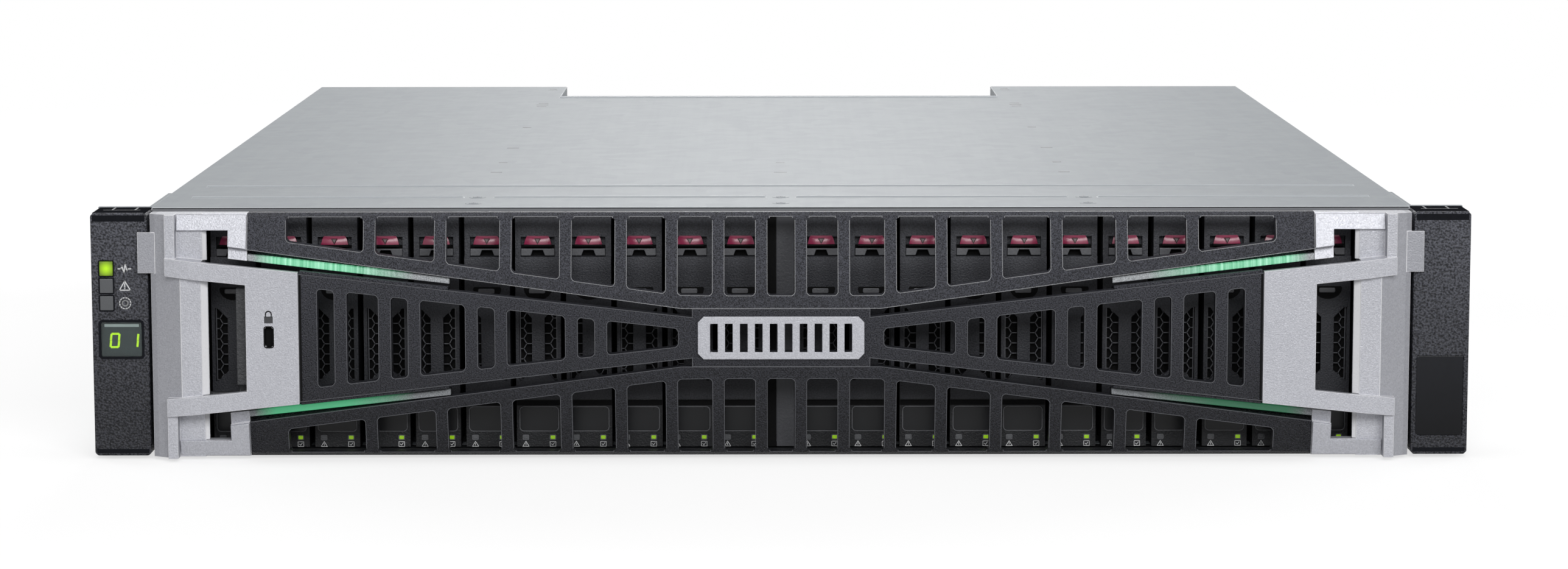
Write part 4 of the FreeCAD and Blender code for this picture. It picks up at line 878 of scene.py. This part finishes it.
def dress_grilles():
    for name, tilt in (("upper_grille", LEAN), ("lower_grille", -LEAN), ("cross_grille", 0.0)):
        bm = rounded_grille(name)
        rims, ledge_shades = grille_lines(bm, tilt)
        mesh = smooth(to_mesh(bm, name + "_shell", "grille_dark"))
        shell = place(name + "_shell", mesh, "bezel")
        normal = shell.modifiers.new("normals", "WEIGHTED_NORMAL")
        normal.keep_sharp = True
        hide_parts(name)
        # Pale rims: painted highlight; dark ledge plates: painted shade.
        put(rims, name + "_rims", "grille_highlight", "bezel")
        if tilt:
            put(ledge_shades, name + "_ledges", "trim_black", "bezel")


# Ends of the bezel

BOW_Y, BOW_ROOT, BOW_SLOPE = -27.0, 3.7, 0.112
SEAT = ((115.9, -0.3), (167.6, -0.3), (167.6, 1.1), (115.9, 1.1))
SEAT_Y = (-26.5, -23.5)
JOINT_X, JOINT_Y, JOINT_RISE = (167.0, 167.75), (-27.05, -26.6), 22.2
FACET = [(186.4, 30.7), (192.9, 31.55), (192.9, 37.1), (210.9, 37.1), (210.9, 42.5), (186.4, 42.5)]
FACET_FOOT, FACET_LIFTS = 10.2, (-1.52, 0.8)
PLATE_Y, LOCK_X, LOCK_Z, PADLOCK_Z = -28.0, -178.3, 44.2, 50.6
SLOT_FRAME, SLOT_HOLE, SLOT_FLOOR = (3.6, 7.8, 1.0), (2.9, 7.1, 0.8), (3.0, 7.2, 0.8)
WINDOW_X, LEDGE_DEEP = 202.2, 1.2
WINDOW_LEDGES = ((-25.4, 2.4, 1.6, 23.45, 63.95), (-19.7, 1.5, 1.0, 70.2, 80.6), (-19.7, 1.5, 1.0, 6.8, 17.2))


def dress_seats():
    """Narrow seats under the light strips, dark strips of painted shadow in the seams beside the end plates,
    leaning facets at the ends.
    """
    seats, joint_shadows = forms(2)
    for side, sx in SIDES:
        facets = Form()
        for sz in (-1, 1):
            outline = [(sx * x, MID_Z + sz * (BOW_ROOT + BOW_SLOPE * x + lift)) for x, lift in SEAT]
            seats.prism(outline, *SEAT_Y)
            rings = []
            for lift in FACET_LIFTS:
                back = [BOW_Y + lift + math.tan(LEAN) * (z - FACET_FOOT) for x, z in FACET]
                rings.append([mm(sx * x, y, MID_Z + sz * z) for (x, z), y in zip(FACET, back)])
            facets.bridge(*rings)
        joint_shadows.box([sx * x for x in JOINT_X], JOINT_Y, (MID_Z - JOINT_RISE, MID_Z + JOINT_RISE))
        put(facets, "end_facets_" + side, "bezel_silver", "bezel", 0.2)
    put(seats, "light_seats", "grille_dark", "bezel", 0.25)
    # A dark strip beside each end plate: painted shadow in the seam.
    put(joint_shadows, "plate_joint_shadows", "deep_black", "bezel")


def dress_lock():
    """A padlock sign and a lined key slot on the left end plate."""
    sign, liner = forms(2)
    y = (PLATE_Y - 0.01, PLATE_Y + 0.1)
    sign.prism(rect(LOCK_X, PADLOCK_Z - 0.3, 1.5, 1.2), *y)
    bow = arc(LOCK_X, PADLOCK_Z + 1.7, 1.0, 1.0, 0, 180, 6)
    shoulder = PADLOCK_Z + 0.9
    sign.stroke([(LOCK_X + 1.0, shoulder)] + bow + [(LOCK_X - 1.0, shoulder)], 0.42, y)
    put(sign, "padlock_sign", "icon_dark", "bezel")
    liner.frame(rounded(LOCK_X, LOCK_Z, *SLOT_FRAME), rounded(LOCK_X, LOCK_Z, *SLOT_HOLE),
                (PLATE_Y - 0.01, PLATE_Y + 2.4))
    liner.prism(rounded(LOCK_X, LOCK_Z, *SLOT_FLOOR), PLATE_Y + 2.5, PLATE_Y + 2.8)
    put(liner, "lock_slot_liner", "deep_black", "bezel")


def dress_windows():
    """Pale edges along the outer side of the openings in the ends: painted light on their lit side walls."""
    for side, sign in SIDES:
        edges = Form()
        for front, wide, deep, low, high in WINDOW_LEDGES:
            near, far, back = sign * WINDOW_X, sign * (WINDOW_X - wide), front + deep
            outline = [(near, front), (far, back), (far, back + LEDGE_DEEP), (near, back + LEDGE_DEEP)]
            edges.prism(outline, low, high, "z")
        put(edges, "window_edges_" + side, "silver_highlight", "bezel", 0.15)


# Chassis front and top cover

BAY_HALF, SILL_Y, SILL_Z = 219.5, (-6.0, 1.9), (0.1, 1.2)
DIVIDER_X, DIVIDER_SHADOW_X, DIVIDER_Z = (-1.6, 4.7), (-4.7, -1.7), (1.6, 85.6)
COVER_Z, COVER_Y, COVER_HALF = 87.4, -7.0, 221.0
LIP_Z, SHADOW_LINE_Z = (86.0, 86.8), (86.78, 87.1)
SLOT_X, SLOT_HALF = 108.4, 1.0
SLOT_ROWS = ((114, 4.4), (152, 3.4), (212, 4.8), (305, 3.6), (413, 4.4), (421, 5.4), (429, 4.4), (506, 4.4),
             (512, 3.4))
MIDDLE_SLOTS = ((113, 5.0), (151, 3.4))
SCREW_STEPS = ((3.0, 0.1), (1.7, 0.26))
SCREW_PLACES = [(x, y) for x in (-109.0, 0.0, 109.0) for y in (24.0, 4.0)]


def dress_sill():
    """Dark strip under the drive faces, and the face of the divider with a dark strip of painted shadow in
    the slit beside it.
    """
    sill, face, shadow_line = forms(3)
    sill.box((-BAY_HALF, BAY_HALF), SILL_Y, SILL_Z)
    face.box(DIVIDER_X, (FACE_Y, FACE_Y + 0.5), DIVIDER_Z)
    shadow_line.box(DIVIDER_SHADOW_X, (FACE_Y + 0.2, FACE_Y + 0.5), DIVIDER_Z)
    put(sill, "drive_sill", "guide_plastic", "chassis", 0.2)
    put(face, "divider_face", "divider_grey", "chassis", 0.15)
    # Painted shadow in the slit beside the divider.
    put(shadow_line, "divider_shadow_line", "deep_black", "chassis")


def dress_cover():
    """Lanced slots in rows, a folded front lip, a dark line of painted shadow along the front edge, and
    screws between the short beads.
    """
    slots, lip, shadow_line, heads, cross = forms(5)
    spots = [(sign * SLOT_X, y, wide) for side, sign in SIDES for y, wide in SLOT_ROWS]
    spots += [(0, y, wide) for y, wide in MIDDLE_SLOTS]
    # Slots drawn as dark patches: painted shade in the openings.
    for x, y, wide in spots:
        slots.prism(rect(x, y, wide / 2, SLOT_HALF), COVER_Z - 0.1, COVER_Z + 0.04, "z")
    lip.box((-COVER_HALF, COVER_HALF), (COVER_Y - 0.12, COVER_Y + 0.1), LIP_Z)
    # A dark line along the cover's front edge: painted shadow.
    shadow_line.box((-COVER_HALF, COVER_HALF), (COVER_Y - 0.06, COVER_Y + 0.1), SHADOW_LINE_Z)
    for x, y in SCREW_PLACES:
        for radius, rise in SCREW_STEPS:
            heads.prism(ring(x, y, radius, 24), COVER_Z - 0.1, COVER_Z + rise, "z")
        cross.cross(x, y, 0.9, 0.2, COVER_Z + 0.2, COVER_Z + 0.28, "z")
    put(slots, "cover_slots", "slot_shade", "chassis")
    put(lip, "cover_lip", "lip_steel", "chassis")
    put(shadow_line, "cover_shadow_line", "deep_black", "chassis")
    put(heads, "cover_screws", "galvanised_steel", "chassis", 0.12)
    put(cross, "cover_screw_slots", "slot_shade", "chassis")


# Sides

WALL_X, LEG_X = 221.5, 223.5
RIVET_RADIUS, LEG_SCREW_RADIUS = 2.4, 3.4
RIVET_PLACES = [(y, z) for y in range(84, 520, 62) for z in (9.0, 77.0)]
LEG_SCREWS = [(y, z) for z in (16, 70) for y in (14, 36)]


def dress_sides():
    """Rivets along the tray's walls and screws through the rack brackets' legs."""
    for side, sign in SIDES:
        rivets, screws, slots = forms(3)
        for y, z in RIVET_PLACES:
            rivets.prism(ring(y, z, RIVET_RADIUS, 16), sign * (WALL_X - 0.1), sign * (WALL_X + 0.4), "x")
        for y, z in LEG_SCREWS:
            screws.prism(ring(y, z, LEG_SCREW_RADIUS, 20), sign * (LEG_X - 0.1), sign * (LEG_X + 0.7), "x")
            slots.cross(y, z, 1.9, 0.35, sign * (LEG_X + 0.4), sign * (LEG_X + 0.74), "x")
        put(rivets, "side_rivets_" + side, "zinc_screw", "chassis", 0.3)
        put(screws, "ear_screws_" + side, "zinc_screw", "chassis", 0.3)
        put(slots, "ear_screw_slots_" + side, "slot_shade", "chassis")


# Rear modules


def screw(heads, slots, x, z, radius, y):
    """Pan head with a cross slot painted dark as shade, on a face that looks to the rear."""
    heads.prism(ring(x, z, radius, 20), y - 0.2, y + 0.9)
    slots.cross(x, z, radius * 0.55, radius * 0.1, y + 0.5, y + 0.94)


POWER_X, POWER_Y, POWER_MID = 162.0, 526.0, 43.1
INLET_SHIFT, INLET_Z, INLET_BACK = -37.0, 21.1, 508.2
INLET = [(-12, -8.2), (12, -8.2), (12, 4.2), (8, 8.2), (-8, 8.2), (-12, 4.2)]
INLET_FLANGE, INLET_WALL, INLET_HOLE, INLET_FLOOR = (1.16, 1.2), (0.995, 0.995), (0.95, 0.94), (0.99, 0.99)
INLET_SCREW, FAN_SCREW = 17.6, 29
INLET_SCREW_RADIUS, FAN_SCREW_RADIUS = 1.9, 2.6
FAN_SHIFT, GUARD_RADII, GUARD_HALF = 20, (8.0, 16.0, 24.0), 0.5
POWER_LAMP_SHIFT, POWER_LAMP_FIRST, POWER_LAMP_PITCH = -13.5, 11, 5.5
HANDLE_Y, HANDLE_HALF = (533.85, 534.0), 11.5
GROOVES, GROOVE_FIRST, GROOVE_PITCH, GROOVE = 7, 70.2, 0.62, 0.3


def dress_power(side, middle):
    """Inlet liner, screws, lamps, finger guard and a grooved handle on a power module."""
    body = "psu_" + side
    liner, heads, slots, lamps, dull, guard, grip = forms(7)
    y, inlet_x, fan_x = POWER_Y, middle + INLET_SHIFT, middle + FAN_SHIFT
    hole = scaled(INLET, inlet_x, INLET_Z, *INLET_HOLE)
    liner.frame(scaled(INLET, inlet_x, INLET_Z, *INLET_FLANGE), hole, (y - 0.1, y + 1.2))
    liner.frame(scaled(INLET, inlet_x, INLET_Z, *INLET_WALL), hole, (INLET_BACK, y + 0.1))
    liner.prism(scaled(INLET, inlet_x, INLET_Z, *INLET_FLOOR), INLET_BACK - 0.15, INLET_BACK + 0.4)
    for u, v in rect(fan_x, POWER_MID, FAN_SCREW, FAN_SCREW):
        screw(heads, slots, u, v, FAN_SCREW_RADIUS, y)
    for shift in (-INLET_SCREW, INLET_SCREW):
        screw(heads, slots, inlet_x + shift, INLET_Z, INLET_SCREW_RADIUS, y)
    for i, form in enumerate((lamps, lamps, dull)):
        z = POWER_LAMP_FIRST + POWER_LAMP_PITCH * i
        form.prism(rounded(middle + POWER_LAMP_SHIFT, z, 2.4, 2.4, 0.5), y - 0.1, y + 0.35)
    for radius in GUARD_RADII:
        guard.frame(ring(fan_x, POWER_MID, radius + GUARD_HALF, 24),
                    ring(fan_x, POWER_MID, radius - GUARD_HALF, 24), (y - 4.4, y - 3.4))
    for i in range(GROOVES):
        z = GROOVE_FIRST + i * GROOVE_PITCH
        grip.box((inlet_x - HANDLE_HALF, inlet_x + HANDLE_HALF), HANDLE_Y, (z, z + GROOVE))
    put(liner, body + "_inlet_liner", "connector_black", body, 0.2)
    put(heads, body + "_screws", "zinc_screw", body, 0.3)
    put(slots, body + "_screw_slots", "slot_shade", body)
    put(lamps, body + "_lamps", "led_green", body, 0.15)
    put(dull, body + "_lamp_dull", "lens_clear", body, 0.15)
    put(guard, body + "_fan_guard", "spring_steel", body, 0.2)
    put(grip, body + "_handle_grip", "handle_black", body + "_handle")


CONTROLLER_Y, PORT_LIFT, WELL_Y = 464.0, 4.0, (448.1, 448.6)
CAGE_FIRST, CAGE_PITCH, CAGES = -83.0, 17.0, 4
SOCKET_X, SHELL_X = 14.0, 44.0
LAMP_LIFT, LAMP_Y = 8.6, (CONTROLLER_Y - 0.1, CONTROLLER_Y + 0.3)
PORT_LAMP, PORT_LAMP_SHIFT = (1.8, 1.8, 0.4), 2.4
PANEL_LAMP, PANEL_LAMP_FIRST, PANEL_LAMP_PITCH = (2.2, 2.2, 0.5), 66, 6
PANEL_SCREW_RADIUS = 1.8
PANEL_SCREWS = ((-97.5, -17.0), (-97.5, 17.0), (97.5, 17.0))
VENTS, VENT_FIRST, VENT_PITCH, VENT_SLOT = 9, 64.5, 2.9, (1.5, 9.5, 0.7)
LEVER_DROP, LEVER_BACK = 16.5, (471.9, 472.3)
RIBS = (16.0, 1.6, 12, 0.8)
CONTROLLERS = (("upper", 65.25), ("lower", 22.15))
CAGE = dict(outer=(15.4, 11.4, 0.8), inner=(13.0, 9.0, 0.6), depth=(458.0, 465.0), well=(6.9, 4.9),
            contacts=(-4.0, 1.1, 8, 0.5), contact_y=(450.0, 456.9), contact_z=(-1.02, -0.9),
            tongue=(4.5, 457.0, -2.4, -1.0))
SOCKET = dict(outer=(15.0, 14.0, 0.8), inner=(11.6, 9.4, 0.4), depth=(456.0, 464.8), well=(6.4, 5.9),
              contacts=(-3.9, 1.02, 8, 0.5), contact_y=(450.0, 459.0), contact_z=(3.6, 4.1))
WIDE_PORT = dict(outer=(22.4, 11.2, 1.2), inner=(19.0, 8.0, 0.8), depth=(458.0, 464.9), well=(9.9, 4.4),
                 contacts=(-7.0, 1.22, 12, 0.6), contact_y=(451.0, 458.8), contact_z=(0.78, 0.92),
                 tongue=(8.0, 459.0, -0.8, 0.8))
SPRINGS, SPRING_Y, SPRING_Z = (-5.5, 4.5, 3, 2.0), (460.0, 465.1), (4.4, 5.0)
SOCKET_LAMP, SOCKET_LAMP_SHIFT, SOCKET_LAMP_DROP = (2.4, 1.5, 0.2), 4.6, 5.4
SOCKET_LAMP_Y = (464.4, 464.95)


def port(x, z, shell, cavity, gold, outer, inner, depth, well, contacts, contact_y, contact_z, tongue=None):
    """A shell round an opening, a dark well behind it, contacts and the tongue that carries them."""
    shell.frame(rounded(x, z, *outer), rounded(x, z, *inner), depth)
    cavity.box((x - well[0], x + well[0]), WELL_Y, (z - well[1], z + well[1]))
    if tongue:
        half, end, low, high = tongue
        cavity.box((x - half, x + half), (WELL_Y[1], end), (z + low, z + high))
    first, *row = contacts
    gold.comb(x + first, *row, contact_y, (z + contact_z[0], z + contact_z[1]))


def dress_controller(level, mid):
    """Ports, lamps, screws and vents on a controller's rear face, and ribs on its lever."""
    body = "controller_" + level
    cages, cavity, gold, lamps, dull, heads, slots, vents, grip = forms(9)
    y, z = CONTROLLER_Y, mid + PORT_LIFT
    for i in range(CAGES):
        x = CAGE_FIRST + CAGE_PITCH * i
        port(x, z, cages, cavity, gold, **CAGE)
        cages.comb(x + SPRINGS[0], *SPRINGS[1:], SPRING_Y, (z + SPRING_Z[0], z + SPRING_Z[1]))
        for side, form in ((-1, lamps), (1, dull)):
            form.prism(rounded(x + side * PORT_LAMP_SHIFT, z + LAMP_LIFT, *PORT_LAMP), *LAMP_Y)
    port(SOCKET_X, z, cavity, cavity, gold, **SOCKET)
    for side, form in ((-1, lamps), (1, dull)):
        x = SOCKET_X + side * SOCKET_LAMP_SHIFT
        form.prism(rounded(x, z - SOCKET_LAMP_DROP, *SOCKET_LAMP), *SOCKET_LAMP_Y)
    port(SHELL_X, z, cages, cavity, gold, **WIDE_PORT)
    for x, v in PANEL_SCREWS:
        screw(heads, slots, x, mid + v, PANEL_SCREW_RADIUS, y)
    for i, form in enumerate((lamps, lamps, dull)):
        x = PANEL_LAMP_FIRST + PANEL_LAMP_PITCH * i
        form.prism(rounded(x, z + LAMP_LIFT, *PANEL_LAMP), *LAMP_Y)
    # Vents drawn as dark patches on the face: painted shade in the openings.
    for i in range(VENTS):
        vents.prism(rounded(VENT_FIRST + i * VENT_PITCH, z + 0.4, *VENT_SLOT), y - 0.05, y + 0.06)
    low = mid - LEVER_DROP
    grip.comb(*RIBS, LEVER_BACK, (low + 0.8, low + 5.2))
    put(cages, body + "_cages", "zinc_screw", body, 0.15)
    put(cavity, body + "_cavities", "deep_black", body, 0.1)
    put(gold, body + "_contacts", "contact_gold", body)
    put(lamps, body + "_lamps", "led_green", body, 0.1)
    put(dull, body + "_lamps_dull", "lens_clear", body, 0.1)
    put(heads, body + "_screws", "zinc_screw", body, 0.25)
    put(slots, body + "_screw_slots", "slot_shade", body)
    put(vents, body + "_vents", "deep_black", body)
    put(grip, body + "_lever_grip", "handle_black", body + "_lever", 0.15)


# Floor, light and camera, in metres

FLOOR_HALF, FLOOR_DROP = 6.0, 0.0005
LIGHTS = (
    ("front", (0.4, -2.6, 1.25), (0, -0.25, 0.05), (2.2, 0.9), 50.0),
    ("over", (0.0, -0.4, 2.4), (0, 0.0, 0.05), (1.6, 1.0), 12.0),
    ("cover_glow", (0.0, 2.3, 1.2), (0, 0.0, 0.08), (0.6, 0.5), 12.5),
    ("rear_left", (-2.0, 1.5, 0.9), (0, 0.2, 0.05), (1.2, 0.8), 14.0),
    ("rear_right", (2.0, 1.5, 0.9), (0, 0.2, 0.05), (1.2, 0.8), 14.0),
)
CAMERA_AT = (-0.0026, -1.6537, 0.2403)
PITCH, YAW, ROLL = (math.radians(a) for a in (7.38, 0.151, -0.051))
LENS, SENSOR, CLIP_START = 91.45, 36.0, 0.05


def backdrop():
    """White where it is looked at, dim where it lights the object."""
    SCENE.world = bpy.data.worlds.new("studio")
    n = Nodes(SCENE.world, "OutputWorld", "Background")
    n.feed(Color=WHITE, Strength=n.span(n.seen(), 0.0, 1.0, 0.14, 1.0))


def floor_finish():
    """Pale floor that turns into the white of the backdrop away from the object."""
    n = surface("floor")
    speck = n.noise(n.coords(), scale=3)
    far = n.span(n.measure("LENGTH"), 0.5, 1.3)
    n.feed(Base_Color=n.blend(far, n.blend(speck, rgb("b4b4b4"), rgb("bababa")), BLACK),
           Roughness=0.9, Specular_IOR_Level=0.0, Emission_Color=WHITE,
           Emission_Strength=n.times(n.seen(), n.span(far, 0.0, 1.0, 0.66, 1.0)))


def floor_plane():
    mesh = bpy.data.meshes.new("floor")
    mesh.from_pydata([(x, y, 0) for x, y in rect(0, 0, FLOOR_HALF, FLOOR_HALF)], [], [(0, 1, 2, 3)])
    floor_finish()
    mesh.materials.append(MATS["floor"])
    floor = bpy.data.objects.new("floor", mesh)
    SCENE.collection.objects.link(floor)
    floor.location.z = -FLOOR_DROP


def area_lights():
    for name, at, aim, size, power in LIGHTS:
        light = bpy.data.lights.new(name, "AREA")
        light.shape = "RECTANGLE"
        light.size, light.size_y = size
        light.energy = power
        obj = bpy.data.objects.new(name, light)
        obj.location = at
        obj.rotation_euler = (Vector(aim) - Vector(at)).to_track_quat("-Z", "Y").to_euler()
        SCENE.collection.objects.link(obj)


def camera():
    data = bpy.data.cameras.new("camera")
    data.sensor_width = SENSOR
    data.lens = LENS
    data.clip_start = CLIP_START
    obj = bpy.data.objects.new("camera", data)
    turn = Euler((math.pi / 2 - PITCH, 0, -YAW)).to_matrix().to_4x4() @ Matrix.Rotation(ROLL, 4, "Z")
    obj.matrix_world = Matrix.Translation(CAMERA_AT) @ turn
    SCENE.collection.objects.link(obj)
    SCENE.camera = obj


SCENE.view_settings.view_transform = "Standard"
finish_nodes()
dress_drives()
dress_signs()
dress_display()
dress_caps()
dress_sill()
dress_grilles()
dress_seats()
dress_lock()
dress_windows()
dress_cover()
dress_sides()
for side, sign in SIDES:
    dress_power(side, sign * POWER_X)
for level, mid in CONTROLLERS:
    dress_controller(level, mid)
backdrop()
floor_plane()
area_lights()
camera()
